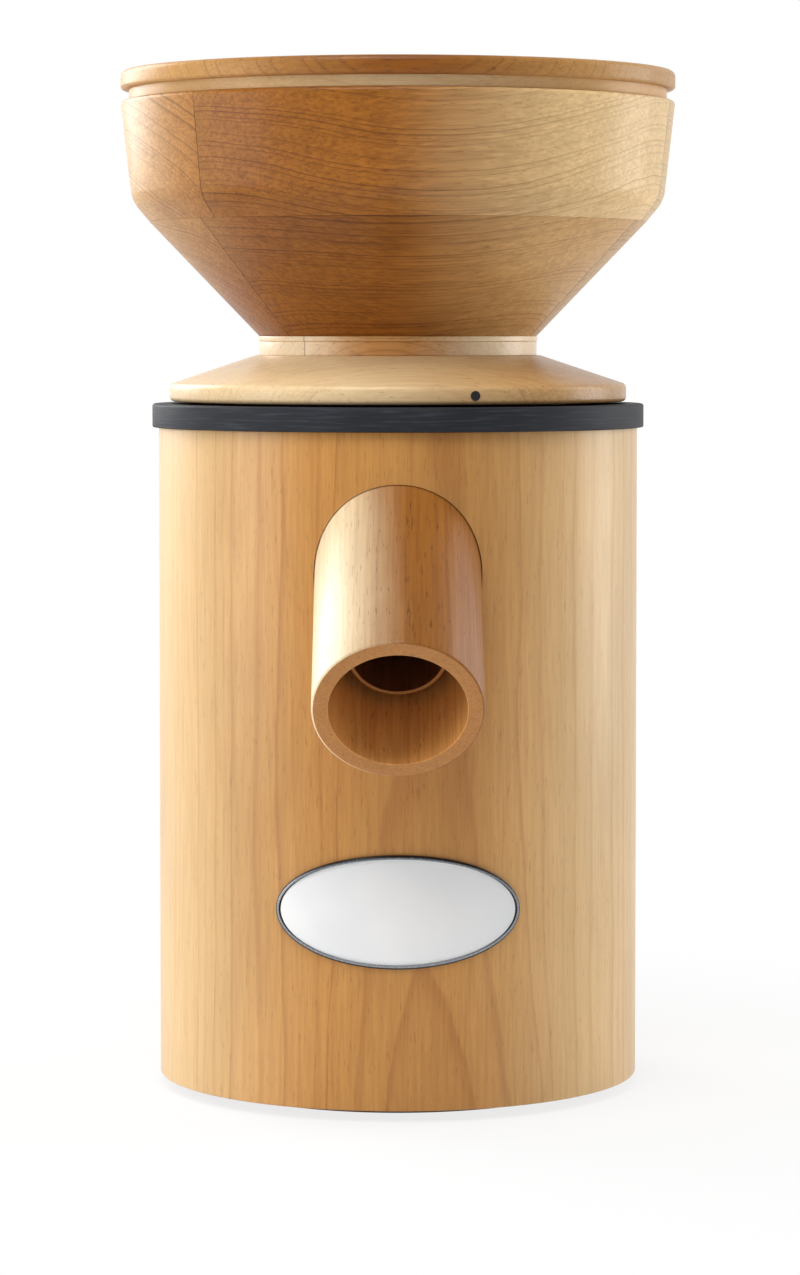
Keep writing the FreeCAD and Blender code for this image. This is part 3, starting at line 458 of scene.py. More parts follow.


# woods: plainWood is what most share; spacing, waviness, relief and the places of the painted sheen and pith
# are in mm
glue = dict(width=0.3, color=(84, 48, 24), cover=0.75, groove=-2.0)
lathe = dict(scale=1400.0, height=0.35)
varnishRoughness = 0.22
plainWood = dict(fleck=0.4, roughness=0.4, coat=0.12, specular=0.2, relief=0.06)


def grainPlace(tree, origin, direction):
    # moves and turns the pattern so that the pith runs through origin (mm) along direction
    turn = Vector(direction).to_track_quat("Z", "Y").to_euler()
    return put(tree, "Mapping", vector_type="TEXTURE", inputs={
        "Vector": objectPlace(tree), "Location": [c * mm for c in origin], "Rotation": turn}).outputs[0]


def unroll(tree, radius):
    # radius in mm
    return useGroup(tree, unrollTube, {"Vector": objectPlace(tree), "Radius": radius * mm})["Vector"]


def woodColors(tree, wood):
    # light and dark colour of the figure, both paler where the sheen is painted, the dark one by two thirds
    middle, near, far, strength = wood["sheenPlace"]
    sheenDark = [(dark + 2 * pale) / 3 for dark, pale in zip(wood["dark"], wood["sheenTint"])]
    return [useGroup(tree, paintedSheen, {
        "Vector": objectPlace(tree), "Color": rgb(*baseColor), "Painted Sheen": rgb(*pale), "Middle": middle * mm,
        "Near": near * mm, "Far": far * mm, "Strength": strength})["Color"]
        for baseColor, pale in ((wood["light"], wood["sheenTint"]), (wood["dark"], sheenDark))]


def useFigure(tree, wood, place):
    light, dark = woodColors(tree, wood)
    inputs = {name.capitalize() + " Strength": wood[name] for name in ("line", "fibre", "fleck", "blotch")}
    inputs |= {"Vector": place, "Ring Spacing": wood["spacing"] * mm, "Waviness": wood["waviness"] * mm,
               "Light": light, "Dark": dark, "Roughness": wood["roughness"]}
    return useGroup(tree, woodFigure, inputs)


def setWood(tree, shader, wood, color, roughness, height):
    feedAll(tree, shader, {
        "Base Color": color, "Roughness": roughness, "Specular IOR Level": wood["specular"],
        "Coat Weight": wood["coat"], "Coat Roughness": varnishRoughness})
    addBump(tree, shader, height, wood["relief"])


def makeWood(name, wood, joints=()):
    # joints are the angles of glue lines, in degrees
    material, tree, shader = newMaterial(name)
    figure = useFigure(tree, wood, grainPlace(tree, wood["pith"], wood["along"]))
    color = figure["Color"]
    marks = useGroup(tree, latheMarks, {"Vector": objectPlace(tree), "Scale": lathe["scale"]})["Height"]
    height = calc(tree, "MULTIPLY_ADD", marks, lathe["height"], figure["Height"])
    for degrees in joints:
        mask = useGroup(tree, glueLine, {"Vector": objectPlace(tree), "Angle": math.radians(degrees),
                                         "Width": glue["width"] * mm})["Mask"]
        color = mixColor(tree, calc(tree, "MULTIPLY", mask, glue["cover"]), color, rgb(*glue["color"]))
        height = calc(tree, "MULTIPLY_ADD", mask, glue["groove"], height)
    setWood(tree, shader, wood, color, figure["Roughness"], height)
    return material


# body tube: bent veneer, upright grain with a flat-sawn figure low at the front; openings are the panel's
# pocket and the cut-outs of switch and inlet: width, height, level of the middle, near side, depth
body = dict(name="bodyTube", radius=89.0, wall=7.0, footRound=0.6, topRound=0.25, steps=240,
            spoutAngle=34.0, spoutForward=89.0, spoutAxisZ=190.4, holeRadius=29.85, holeLength=120.0,
            holeForward=100.0, creaseAngle=28,
            openings=((54.0, 81.0, 66.0, 84.6, 20.0), (22.0, 28.0, 82.0, 65.0, 30.0),
                      (28.0, 20.4, 44.0, 65.0, 30.0)))
# the paler tone towards both sides of the body is a painted sheen, not wood
veneer = dict(light=(200, 144, 74), dark=(144, 78, 30), spacing=6.2, waviness=18.0, line=0.44,
              fibre=0.28, fleck=0.2, blotch=0.28, roughness=0.42, coat=0.2, specular=0.3, relief=0.05,
              sheenTint=(226, 194, 142), sheenPlace=(-4.0, 20.0, 84.0, 0.88), heartDepth=46.0, heartTilt=0.03,
              heartSide=14.0, heartHeight=60.0)
spoutSlope = math.radians(body["spoutAngle"])


def makeVeneer():
    material, tree, shader = newMaterial("bodyVeneer")
    parts = splitAxes(tree, unroll(tree, body["radius"]))
    sideways = calc(tree, "SUBTRACT", parts[0], veneer["heartSide"] * mm)
    rise = calc(tree, "SUBTRACT", parts[2], veneer["heartHeight"] * mm)
    depth = calc(tree, "MULTIPLY_ADD", rise, veneer["heartTilt"], veneer["heartDepth"] * mm)
    depth = calc(tree, "ADD", depth, parts[1])
    figure = useFigure(tree, veneer, joinAxes(tree, sideways, depth, parts[2]))
    setWood(tree, shader, veneer, figure["Color"], figure["Roughness"], figure["Height"])
    return material


def spoutTilt(piece, forward):
    # turns an upright tube along the spout's axis, its top end at this distance in front of the mill's axis
    height = body["spoutAxisZ"] + (body["spoutForward"] - forward) * math.tan(spoutSlope)
    activate(piece)
    piece.matrix_world = Matrix.Translation((0, -forward * mm, height * mm)) @ Matrix.Rotation(
        math.pi / 2 + spoutSlope, 4, "X")
    bpy.ops.object.transform_apply(location=True, rotation=True, scale=True)


def makeBodyTube():
    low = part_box("housing_tube")[0].z / mm
    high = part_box("housing_tube")[1].z / mm
    inner = body["radius"] - body["wall"]
    tube = drawOutline(body["name"], [
        (inner, low), (body["radius"], low, body["footRound"]), (body["radius"], high, body["topRound"]),
        (inner, high)])
    spinOutline(tube, body["steps"])
    for width, tall, middle, near, deep in body["openings"]:
        cutAway(tube, boxCutter((0, near + deep / 2, middle), (width, deep, tall)))
    hole = rodCutter(body["holeRadius"], body["holeLength"])
    spoutTilt(hole, body["holeForward"])
    cutAway(tube, hole)
    smooth(tube, body["creaseAngle"])
    finishPiece(tube, "housing", [makeVeneer()], ["housing_tube"])


makeBodyTube()


# spout tube and the thinner chute inside it; both are cut to a round end inside the mill
tubes = dict(steps=128, boreMargin=0.3, innerRoundShare=0.4, cutterLength=400.0, cutterSteps=256,
             creaseAngle=30)
spout = dict(name="spoutTube", outer=29.5, inner=23.8, endRound=0.9, forward=146.0, length=118.0,
             innerEnd=79.0)
chute = dict(name="flourChute", outer=17.6, inner=15.9, endRound=0.6, setBack=30.0, length=92.0,
             innerEnd=54.1)
chute["forward"] = spout["forward"] - chute["setBack"] * math.cos(spoutSlope)
# the paler tone on the spout's left side is a painted highlight
spoutWood = dict(plainWood, light=(160, 102, 42), dark=(96, 44, 12), spacing=2.6, waviness=7.0,
                 line=0.26, fibre=0.34, blotch=0.22, coat=0.14, sheenTint=(248, 228, 188),
                 sheenPlace=(32.0, 26.0, 60.0, 1.0), pith=(26.0, -120.0, 230.0),
                 along=(0, -math.cos(spoutSlope), -math.sin(spoutSlope)))
# the spout's bore is painted much lighter than its outside: a painted pool of light inside the mouth
litBoreWood = dict(spoutWood, light=(234, 170, 96), dark=(160, 94, 42), sheenPlace=(0.0, 40.0, 60.0, 0.0))
endWood = dict(litBoreWood, light=(188, 132, 74), dark=(150, 92, 44), line=0.15)
chuteWood = dict(litBoreWood, light=(150, 94, 46), dark=(90, 48, 20), pith=(-20.0, -120.0, 220.0), coat=0.15)
# the chute's bore is painted dark: painted shade inside the narrow tube
chuteBoreShadedWood = dict(chuteWood, light=(92, 54, 28), dark=(56, 30, 14))


def makeTube(tube, materials, replaced):
    # materials of the outside, the bore and the end face
    piece = drawOutline(tube["name"], [
        (tube["inner"], -tube["length"]), (tube["outer"], -tube["length"]),
        (tube["outer"], 0, tube["endRound"]),
        (tube["inner"], 0, tube["endRound"] * tubes["innerRoundShare"])])
    spinOutline(piece, tubes["steps"])
    for face in piece.data.polygons:
        inBore = face.center.xy.length < (tube["inner"] + tubes["boreMargin"]) * mm
        onEnd = face.normal.z > 0.9
        face.material_index = 2 if onEnd else 1 if inBore else 0
    spoutTilt(piece, tube["forward"])
    cutAway(piece, rodCutter(tube["innerEnd"], tubes["cutterLength"], tubes["cutterSteps"]))
    smooth(piece, tubes["creaseAngle"])
    finishPiece(piece, "housing", materials, [replaced])


makeTube(spout, [makeWood("spoutWood", spoutWood), makeWood("spoutBoreLitWood", litBoreWood),
                 makeWood("spoutEndWood", endWood)], "spout_tube")
makeTube(chute, [makeWood("chuteWood", chuteWood), makeWood("chuteBoreShadedWood", chuteBoreShadedWood),
                 makeWood("chuteEndWood", endWood)], "outlet_chute")


# dark ring on the body: stained wood with fine level grain
ring = dict(name="darkRing", bore=64.9, spigot=81.8, radius=91.4, lowRound=0.5, highRound=0.9,
            boreRound=0.4, steps=240)
ringLook = dict(color=(38, 40, 46), worn=(70, 74, 82), wear=(0.45, 0.75), wearShare=0.6,
                deep=(30, 29, 31), cloud=(0.3, 0.8, 0.0, 0.3), roughness=0.6, vary=0.2, specular=0.22,
                relief=0.16)


def makeDarkMaterial():
    material, tree, shader = newMaterial("darkRingStain")
    unrolled = unroll(tree, ring["radius"])
    fibre = noise(tree, unrolled, 1100, 3.0, 0.6, stretch=(0.05, 1, 1))
    slow = noise(tree, unrolled, 160, 2.0, stretch=(0.2, 1, 1))
    wear = calc(tree, "MULTIPLY", remap(tree, fibre, *ringLook["wear"]), ringLook["wearShare"])
    color = mixColor(tree, wear, rgb(*ringLook["color"]), rgb(*ringLook["worn"]))
    color = mixColor(tree, remap(tree, slow, *ringLook["cloud"]), color, rgb(*ringLook["deep"]))
    feedAll(tree, shader, {"Base Color": color, "Specular IOR Level": ringLook["specular"]})
    varyRoughness(tree, shader, fibre, ringLook["vary"], ringLook["roughness"])
    addBump(tree, shader, fibre, ringLook["relief"])
    return material


def makeDarkRing():
    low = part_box("top_ring")[0].z / mm
    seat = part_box("housing_tube")[1].z / mm
    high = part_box("top_ring")[1].z / mm
    piece = drawOutline(ring["name"], [
        (ring["bore"], low), (ring["spigot"], low), (ring["spigot"], seat),
        (ring["radius"], seat, ring["lowRound"]), (ring["radius"], high, ring["highRound"]),
        (ring["bore"], high, ring["boreRound"])])
    spinOutline(piece, ring["steps"])
    smooth(piece)
    finishPiece(piece, "housing", [makeDarkMaterial()], ["top_ring"])


makeDarkRing()


# setting collar with its cone, neck band and thin shim; the seam is the angle of the neck's glue line
collar = dict(name="settingCollar", bore=28.0, radius=84.9, shoulder=6.4, topRadius=53.0, lowRound=1.6,
              highRound=2.0, topRound=0.8, steps=240, creaseAngle=24)
neck = dict(band=51.6, shim=52.0, bore=28.0, edge=0.25, steps=200, seam=229.0)
# the paler tone towards the sides of the collar, neck band and shim is a painted highlight
collarWood = dict(plainWood, light=(200, 156, 98), dark=(140, 84, 38), spacing=3.4, waviness=9.0,
                  line=0.4, fibre=0.28, blotch=0.24, roughness=0.38, coat=0.3, sheenTint=(244, 218, 172),
                  sheenPlace=(70.0, 10.0, 92.0, 0.78), pith=(20.0, 60.0, 300.0), along=(1, 0.08, 0.02))
bandWood = dict(collarWood, light=(214, 152, 84), dark=(136, 78, 34), pith=(0.0, 30.0, 330.0),
                along=(1, -0.05, 0), sheenTint=(248, 228, 192), sheenPlace=(-2.0, 4.0, 36.0, 0.95))
shimWood = dict(bandWood, light=(214, 160, 96), dark=(140, 84, 40), pith=(0.0, -30.0, 220.0))


def makeHeadTurnings():
    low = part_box("setting_collar")[0].z / mm
    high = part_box("setting_collar")[1].z / mm
    piece = drawOutline(collar["name"], [
        (collar["bore"], low), (collar["radius"], low, collar["lowRound"]),
        (collar["radius"], low + collar["shoulder"], collar["highRound"]),
        (collar["topRadius"], high, collar["topRound"]), (collar["bore"], high)])
    spinOutline(piece, collar["steps"])
    smooth(piece, collar["creaseAngle"])
    finishPiece(piece, "head", [makeWood("collarWood", collarWood)], ["setting_collar"])
    for name, node, radius, wood in (("neckBand", "neck_band", neck["band"], bandWood),
                                     ("neckShim", "neck_shim", neck["shim"], shimWood)):
        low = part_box(node)[0].z / mm
        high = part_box(node)[1].z / mm
        piece = drawOutline(name, [
            (neck["bore"], low), (radius, low, neck["edge"]), (radius, high, neck["edge"]),
            (neck["bore"], high)])
        spinOutline(piece, neck["steps"])
        smooth(piece)
        finishPiece(piece, "head", [makeWood(name + "Wood", wood, (neck["seam"],))], [node])


makeHeadTurnings()


# hopper: cone block and rim ring, each glued from three staves
staves = dict(names=("front", "right", "left"), degrees=120.0, steps=64, seamBevel=0.12, creaseAngle=26)
cone = dict(bore=28.0, foot=51.6, footRound=0.3, top=92.3, topRound=0.12, inside=78.0, lip=1.0,
            lipRound=0.4, start=-140.0)
rim = dict(inside=78.0, foot=92.3, footRound=0.12, shoulder=98.7, shoulderRise=7.7, shoulderRound=11.0,
           radius=102.8, highRound=1.5, wall=11.0, wallRound=1.0, bowl=87.5, bowlRise=11.0,
           bowlRound=8.0, start=-135.0)
# the paler tone towards the sides of the hopper staves is a painted highlight
coneWood = dict(plainWood, light=(158, 96, 30), dark=(84, 36, 6), spacing=2.4, waviness=8.0, line=1.0,
                fibre=0.5, fleck=0.3, blotch=0.32, sheenTint=(226, 186, 124),
                sheenPlace=(-26.0, 20.0, 80.0, 0.72))
rimWood = dict(coneWood, light=(168, 104, 32), dark=(92, 44, 8), spacing=2.7, sheenTint=(240, 208, 152),
               sheenPlace=(-32.0, 20.0, 104.0, 0.9))
# where each stave's pith lies: sideways and outwards from the mill's axis, and its height
conePith = dict(front=(10.0, 40.0, 215.0), right=(-20.0, 60.0, 225.0), left=(45.0, 75.0, 235.0))
rimPith = dict(front=(20.0, 52.0, 268.0), right=(0.0, 60.0, 255.0), left=(-30.0, 110.0, 250.0))
# how far the grain rises along the stave, and how far it turns outwards
grainRise = dict(front=0.05, right=-0.08, left=-0.08)
grainTurn = 0.06


def staveWood(kind, name, wood, middle, pith):
    angle = math.radians(middle)
    outwards = Vector((math.cos(angle), math.sin(angle), 0))
    sideways = Vector((-math.sin(angle), math.cos(angle), 0))
    side, out, height = pith
    place = outwards * out + sideways * side
    along = sideways + Vector((0, 0, grainRise[name])) + outwards * grainTurn
    stave = dict(wood, pith=(place.x, place.y, height), along=along)
    half = staves["degrees"] / 2
    return makeWood(kind + name.capitalize() + "Wood", stave, (middle - half, middle + half))


def makeStaves(kind, corners, start, wood, piths, cadName):
    first = drawOutline(kind + "Stave", corners)
    spinOutline(first, staves["steps"], staves["degrees"])
    activate(first)
    bpy.ops.object.mode_set(mode="EDIT")
    bpy.ops.mesh.select_mode(type="EDGE")
    ends = (0.0, math.radians(staves["degrees"]))

    def onSeam(a, b):
        # both ends of the edge lie on one of the stave's end faces
        return any(abs(a.x * math.sin(end) - a.y * math.cos(end)) < tiny
                   and abs(b.x * math.sin(end) - b.y * math.cos(end)) < tiny for end in ends)

    pickEdges(first, onSeam)
    bpy.ops.mesh.bevel(offset=staves["seamBevel"] * mm, segments=1, affect="EDGES")
    bpy.ops.object.mode_set(mode="OBJECT")
    for i, name in enumerate(staves["names"]):
        pieceName = kind + "Stave" + name.capitalize()
        piece = first if name == staves["names"][-1] else copyPiece(first, pieceName)
        piece.name = pieceName
        turn = start + staves["degrees"] * i
        turnPiece(piece, turn)
        smooth(piece, staves["creaseAngle"])
        material = staveWood(kind, name, wood, turn + staves["degrees"] / 2, piths[name])
        finishPiece(piece, "head", [material], [cadName + "_" + name])


def makeHopper():
    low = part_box("cone_stave_front")[0].z / mm
    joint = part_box("rim_stave_front")[0].z / mm
    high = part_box("rim_stave_front")[1].z / mm
    makeStaves("cone", [
        (cone["bore"], low), (cone["foot"], low, cone["footRound"]), (cone["top"], joint, cone["topRound"]),
        (cone["inside"], joint), (cone["bore"], low + cone["lip"], cone["lipRound"])],
        cone["start"], coneWood, conePith, "cone_stave")
    makeStaves("rim", [
        (rim["inside"], joint), (rim["foot"], joint, rim["footRound"]),
        (rim["shoulder"], joint + rim["shoulderRise"], rim["shoulderRound"]),
        (rim["radius"], high, rim["highRound"]), (rim["radius"] - rim["wall"], high, rim["wallRound"]),
        (rim["bowl"], joint + rim["bowlRise"], rim["bowlRound"])],
        rim["start"], rimWood, rimPith, "rim_stave")


makeHopper()


# lid disc and the pale step under it; the eye is the small hole that a spun disc is closed over
lid = dict(name="lidDisc", radius=102.8, lowRound=1.2, highRound=2.2, eye=0.2, steps=240)
lidStep = dict(name="lidStep", radius=99.7, edgeRound=0.4, plugRadius=89.6, plugRound=0.8, seatGap=0.05)
# the paler tone towards both ends of the lid is a painted highlight
lidWood = dict(plainWood, light=(144, 84, 26), dark=(76, 36, 8), spacing=2.2, waviness=7.0, line=0.6,
               fibre=0.36, blotch=0.24, sheenTint=(212, 164, 96), sheenPlace=(0.0, 2.0, 88.0, 0.75),
               pith=(0.0, 20.0, 330.0), along=(1, 0.03, 0.0))
stepWood = dict(lidWood, light=(226, 196, 150), dark=(186, 138, 88), line=0.25, fleck=0.25, spacing=3.0,
                pith=(0.0, -40.0, 300.0))


def spinDisc(piece):
    # a solid disc: the eye at the axis is merged to one point on each face
    spinOutline(piece, lid["steps"])
    activate(piece)
    bpy.ops.object.mode_set(mode="EDIT")
    bpy.ops.mesh.select_mode(type="VERT")
    eye = 2 * lid["eye"] * mm
    heights = sorted({round(vert.co.z, 6) for vert in piece.data.vertices if vert.co.xy.length < eye})
    pickEdges(piece, lambda a, b: a.xy.length < eye and b.xy.length < eye and abs(a.z - b.z) > tiny)
    bpy.ops.mesh.delete(type="EDGE")
    for height in heights:
        pickVerts(piece, lambda co: abs(co.z - height) < tiny and co.xy.length < eye)
        bpy.ops.mesh.merge(type="CENTER")
    faceOutwards()
    bpy.ops.object.mode_set(mode="OBJECT")
    smooth(piece)


def makeLid():
    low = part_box("lid_disc")[0].z / mm
    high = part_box("lid_disc")[1].z / mm
    disc = drawOutline(lid["name"], [
        (lid["eye"], low), (lid["radius"], low, lid["lowRound"]), (lid["radius"], high, lid["highRound"]),
        (lid["eye"], high)])
    spinDisc(disc)
    finishPiece(disc, "lid", [makeWood("lidWood", lidWood)], ["lid_disc"])
    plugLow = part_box("lid_step")[0].z / mm
    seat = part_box("rim_stave_front")[1].z / mm + lidStep["seatGap"]
    step = drawOutline(lidStep["name"], [
        (lid["eye"], plugLow), (lidStep["plugRadius"], plugLow, lidStep["plugRound"]),
        (lidStep["plugRadius"], seat), (lidStep["radius"], seat, lidStep["edgeRound"]),
        (lidStep["radius"], low), (lid["eye"], low)])
    spinDisc(step)
    finishPiece(step, "lid", [makeWood("stepWood", stepWood)], ["lid_step"])


makeLid()


# oval plate: a bare domed plate in a rolled rim, bent round the body
badge = dict(halfWidth=44.76, halfHeight=20.3, rimWidth=1.4, seat=89.03, plateRise=1.25, rimRise=1.7,
             height=75.2, dome=5.0, thickness=0.8, edgeBevel=0.85, edgeSteps=5, shadowBand=0.55, steps=144,
             outerShare=0.995, creaseAngle=40)
plateLook = dict(low=(232, 234, 236), high=(244, 244, 244), roughness=0.33, vary=0.1, coat=0.6,
                 coatRoughness=0.08, relief=0.01)
rimLook = dict(low=(120, 124, 130), high=(160, 163, 168), roughness=0.26, metallic=0.9)
# the rim's outer band is painted near black: a painted shadow along the plate's edge
shadowBandLook = dict(low=(22, 23, 26), high=(40, 41, 45), roughness=0.34, metallic=0.3)
rimVary, rimRelief = 0.12, 0.008
cloudRange = (0.3, 0.7)  # where a slow noise turns from the low to the high colour


def startOval(name, halfWidth, halfHeight, fill):
    bpy.ops.mesh.primitive_circle_add(vertices=badge["steps"], radius=1, fill_type=fill,
                                      rotation=(math.pi / 2, 0, 0))
    piece = nameActive(name)
    bpy.ops.object.transform_apply(location=False, rotation=True, scale=False)
    bpy.ops.object.mode_set(mode="EDIT")
    selectAll()
    bpy.ops.transform.resize(value=(halfWidth * mm, 1, halfHeight * mm))
    return piece


def bendPiece(piece, axis, radians):
    applyModifier(piece, "SIMPLE_DEFORM", deform_method="BEND", deform_axis=axis, angle=radians)


def placeOnBody(piece, halfWidth, radius):
    bendPiece(piece, "Z", 2 * halfWidth / radius)
    piece.location = (0, -radius * mm, badge["height"] * mm)
    bpy.ops.object.transform_apply(location=True, rotation=False, scale=False)


def makePlateMaterial():
    material, tree, shader = newMaterial("plateSatin", metallic=0.25)
    place = objectPlace(tree)
    grain = noise(tree, place, 2600, 2.0, stretch=(0.04, 1, 1))
    tone = noise(tree, place, 22, 2.0)
    feedAll(tree, shader, {
        "Base Color": lookColor(tree, remap(tree, tone, *cloudRange), plateLook),
        "Coat Weight": plateLook["coat"], "Coat Roughness": plateLook["coatRoughness"]})
    varyRoughness(tree, shader, grain, plateLook["vary"], plateLook["roughness"])
    addBump(tree, shader, grain, plateLook["relief"])
    return material


def makeRimMaterial(name, look):
    material, tree, shader = newMaterial(name, look["roughness"], look["metallic"])
    grain = noise(tree, objectPlace(tree), 1800, 2.0)
    feed(tree, shader.inputs["Base Color"], lookColor(tree, grain, look))
    varyRoughness(tree, shader, grain, rimVary, look["roughness"])
    addBump(tree, shader, grain, rimRelief)
    return material


def makePlate():
    halfWidth = badge["halfWidth"] - badge["rimWidth"]
    halfHeight = badge["halfHeight"] - badge["rimWidth"]
    plate = startOval("ovalPlate", halfWidth, halfHeight, "NOTHING")
    bpy.ops.mesh.fill_grid(span=badge["steps"] // 4)
    faceOutwards()
    bpy.ops.object.mode_set(mode="OBJECT")
    if plate.data.polygons[0].normal.y > 0:
        plate.data.flip_normals()
    applyModifier(plate, "SOLIDIFY", thickness=badge["thickness"] * mm, offset=-1)
    bendPiece(plate, "X", math.radians(badge["dome"]))
    placeOnBody(plate, halfWidth, badge["seat"] + badge["plateRise"])
    smooth(plate, badge["creaseAngle"])
    finishPiece(plate, "housing", [makePlateMaterial()], ["badge_plate"])


def makePlateRim():
    edge = startOval("ovalRim", badge["halfWidth"], badge["halfHeight"], "NGON")
    bpy.ops.mesh.select_mode(type="FACE")
    selectAll()
    bpy.ops.mesh.inset(thickness=badge["rimWidth"] * mm, depth=0)
    bpy.ops.mesh.delete(type="FACE")
    selectAll()
    bpy.ops.mesh.extrude_region_move(TRANSFORM_OT_translate={"value": (0, -badge["rimRise"] * mm, 0)})
    faceOutwards()
    bpy.ops.mesh.select_mode(type="EDGE")

    def onOuterEdge(a, b):
        # along the oval's outline, on the front
        return all(co.y < -mm and (co.x / badge["halfWidth"]) ** 2 + (co.z / badge["halfHeight"]) ** 2
                   > (badge["outerShare"] * mm) ** 2 for co in (a, b)) and abs(a.y - b.y) < tiny

    pickEdges(edge, onOuterEdge)
    bpy.ops.mesh.bevel(offset=badge["edgeBevel"] * mm, segments=badge["edgeSteps"], affect="EDGES")
    bpy.ops.object.mode_set(mode="OBJECT")
    # faces nearer to the outline than the band's width get the dark material: a painted shadow along the
    # rim's outer edge
    for face in edge.data.polygons:
        across = face.center.x / (badge["halfWidth"] * mm)
        up = face.center.z / (badge["halfHeight"] * mm)
        reach = math.hypot(across, up)
        slope = math.hypot(across / badge["halfWidth"], up / badge["halfHeight"]) / reach
        face.material_index = 1 if (1 - reach) / slope < badge["shadowBand"] else 0
    placeOnBody(edge, badge["halfWidth"], badge["seat"])
    smooth(edge, badge["creaseAngle"])
    finishPiece(edge, "housing", [makeRimMaterial("rimPolished", rimLook),
                                  makeRimMaterial("rimEdgePaintedShadow", shadowBandLook)], ["badge_bezel"])


makePlate()
makePlateRim()


# finishes of the parts that keep their solid's own shape
plasticVary, metalVary = 0.14, 0.24


def makePlastic(name, **look):
    material, tree, shader = newMaterial(name, look["roughness"])
    place = objectPlace(tree)
    grain = noise(tree, place, look["grain"], 2.0)
    slow = noise(tree, place, 35, 3.0)
    feed(tree, shader.inputs["Base Color"], lookColor(tree, remap(tree, slow, *cloudRange), look))
    varyRoughness(tree, shader, slow, plasticVary, look["roughness"])
    addBump(tree, shader, grain, look["relief"])
    return material


def makeMetal(name, **look):
    material, tree, shader = newMaterial(name, look["roughness"], 1.0)
    place = objectPlace(tree)
    streaks = noise(tree, place, look["grain"], 3.0, stretch=look["stretch"])
    cloud = noise(tree, place, 60, 3.0, 0.6)
    feed(tree, shader.inputs["Base Color"], lookColor(tree, remap(tree, cloud, *cloudRange), look))
    varyRoughness(tree, shader, streaks, metalVary, look["roughness"])
    addBump(tree, shader, streaks, look["relief"])
    return material


def makeSpeckled(name, **look):
    material, tree, shader = newMaterial(name, look["roughness"])
    place = objectPlace(tree)
    cells = put(tree, "TexVoronoi", inputs={"Vector": place, "Scale": look["grain"]})
    grit = noise(tree, place, look["grain"] * 1.7, 2.0)
    spot = put(tree, "SeparateColor", inputs={"Color": cells.outputs["Color"]}).outputs[0]
    color = lookColor(tree, spot, look)
    color = mixColor(tree, remap(tree, grit, 0.6, 0.75, 0.0, 0.5), color, rgb(*look["low"]))
    feed(tree, shader.inputs["Base Color"], color)
    addBump(tree, shader, calc(tree, "ADD", spot, grit), look["relief"])
    return material


def makeLayered(name, **look):
    # plies or sheets stacked upwards, each of its own tone, with a groove between them
    material, tree, shader = newMaterial(name, look["roughness"], look["metallic"])
    place = objectPlace(tree)
    layer = calc(tree, "DIVIDE", splitAxes(tree, place)[2], look["layer"] * mm)
    fibre = noise(tree, place, 700, 3.0, stretch=(0.05, 1, 1))
    tone = calc(tree, "MULTIPLY_ADD", chancePer(tree, layer), 0.6, calc(tree, "MULTIPLY", fibre, 0.4))
    feed(tree, shader.inputs["Base Color"], lookColor(tree, tone, look))
    groove = remap(tree, calc(tree, "PINGPONG", layer, 0.5), 0.0, 0.12)
    addBump(tree, shader, calc(tree, "MULTIPLY_ADD", fibre, 0.3, groove), look["relief"])
    return material


def makeWound(name, **look):
    # wires laid level round the coil
    material, tree, shader = newMaterial(name, look["roughness"], look["metallic"])
    parts = splitAxes(tree, unroll(tree, look["radius"]))
    swirl = noise(tree, objectPlace(tree), 120, 2.0)
    level = calc(tree, "MULTIPLY_ADD", swirl, look["sway"] * mm, calc(tree, "ADD", parts[2], parts[1]))
    wire = calc(tree, "PINGPONG", calc(tree, "DIVIDE", level, look["wire"] * mm), 0.5)
    feedAll(tree, shader, {"Base Color": lookColor(tree, calc(tree, "MULTIPLY", wire, 2.0), look),
                           "Coat Weight": look["coat"]})
    addBump(tree, shader, wire, look["relief"])
    return material


finishes = {
    "plywood": makeLayered("plywoodPlies",
        low=(176, 132, 84), high=(214, 178, 128), layer=1.3, roughness=0.62, metallic=0.0,
        relief=0.05),
    "stack_steel": makeLayered("steelLaminations",
        low=(92, 94, 98), high=(128, 130, 134), layer=0.5, roughness=0.42, metallic=1.0,
        relief=0.08),
    "black_plastic": makePlastic("blackPlastic",
        low=(26, 26, 28), high=(38, 38, 40), grain=2200, roughness=0.46, relief=0.03),
    "chamber_plastic": makePlastic("chamberPlastic",
        low=(52, 54, 58), high=(70, 72, 76), grain=1500, roughness=0.5, relief=0.03),
    "rubber": makePlastic("footRubber",
        low=(30, 30, 30), high=(46, 45, 44), grain=900, roughness=0.75, relief=0.06),
    "mark_black": makePlastic("markBlack",
        low=(14, 14, 15), high=(22, 22, 23), grain=1600, roughness=0.24, relief=0.01),
    "capacitor_case": makePlastic("capacitorCase",
        low=(204, 203, 196), high=(218, 217, 211), grain=700, roughness=0.34, relief=0.01),
    "felt": makeSpeckled("feltSeal",
        low=(104, 101, 95), high=(134, 131, 124), grain=2400, roughness=0.95, relief=0.2),
    "stone": makeSpeckled("grindingStone",
        low=(150, 145, 136), high=(186, 181, 170), grain=1300, roughness=0.88, relief=0.16),
    "cast_aluminium": makeMetal("castAluminium",
        low=(176, 178, 181), high=(200, 201, 203), grain=900, stretch=(1, 1, 1),
        roughness=0.44, relief=0.05),
    "steel": makeMetal("zincSteel",
        low=(160, 162, 166), high=(196, 196, 194), grain=1200, stretch=(1, 1, 0.3),
        roughness=0.32, relief=0.01),
    "brass": makeMetal("plainBrass",
        low=(190, 156, 88), high=(214, 184, 116), grain=1200, stretch=(1, 0.1, 1),
        roughness=0.3, relief=0.01),
    "copper": makeWound("windingCopper",
        low=(120, 56, 26), high=(196, 108, 60), wire=0.8, radius=40.0, sway=1.2,
        roughness=0.34, metallic=0.7, coat=0.5, relief=0.3),
}
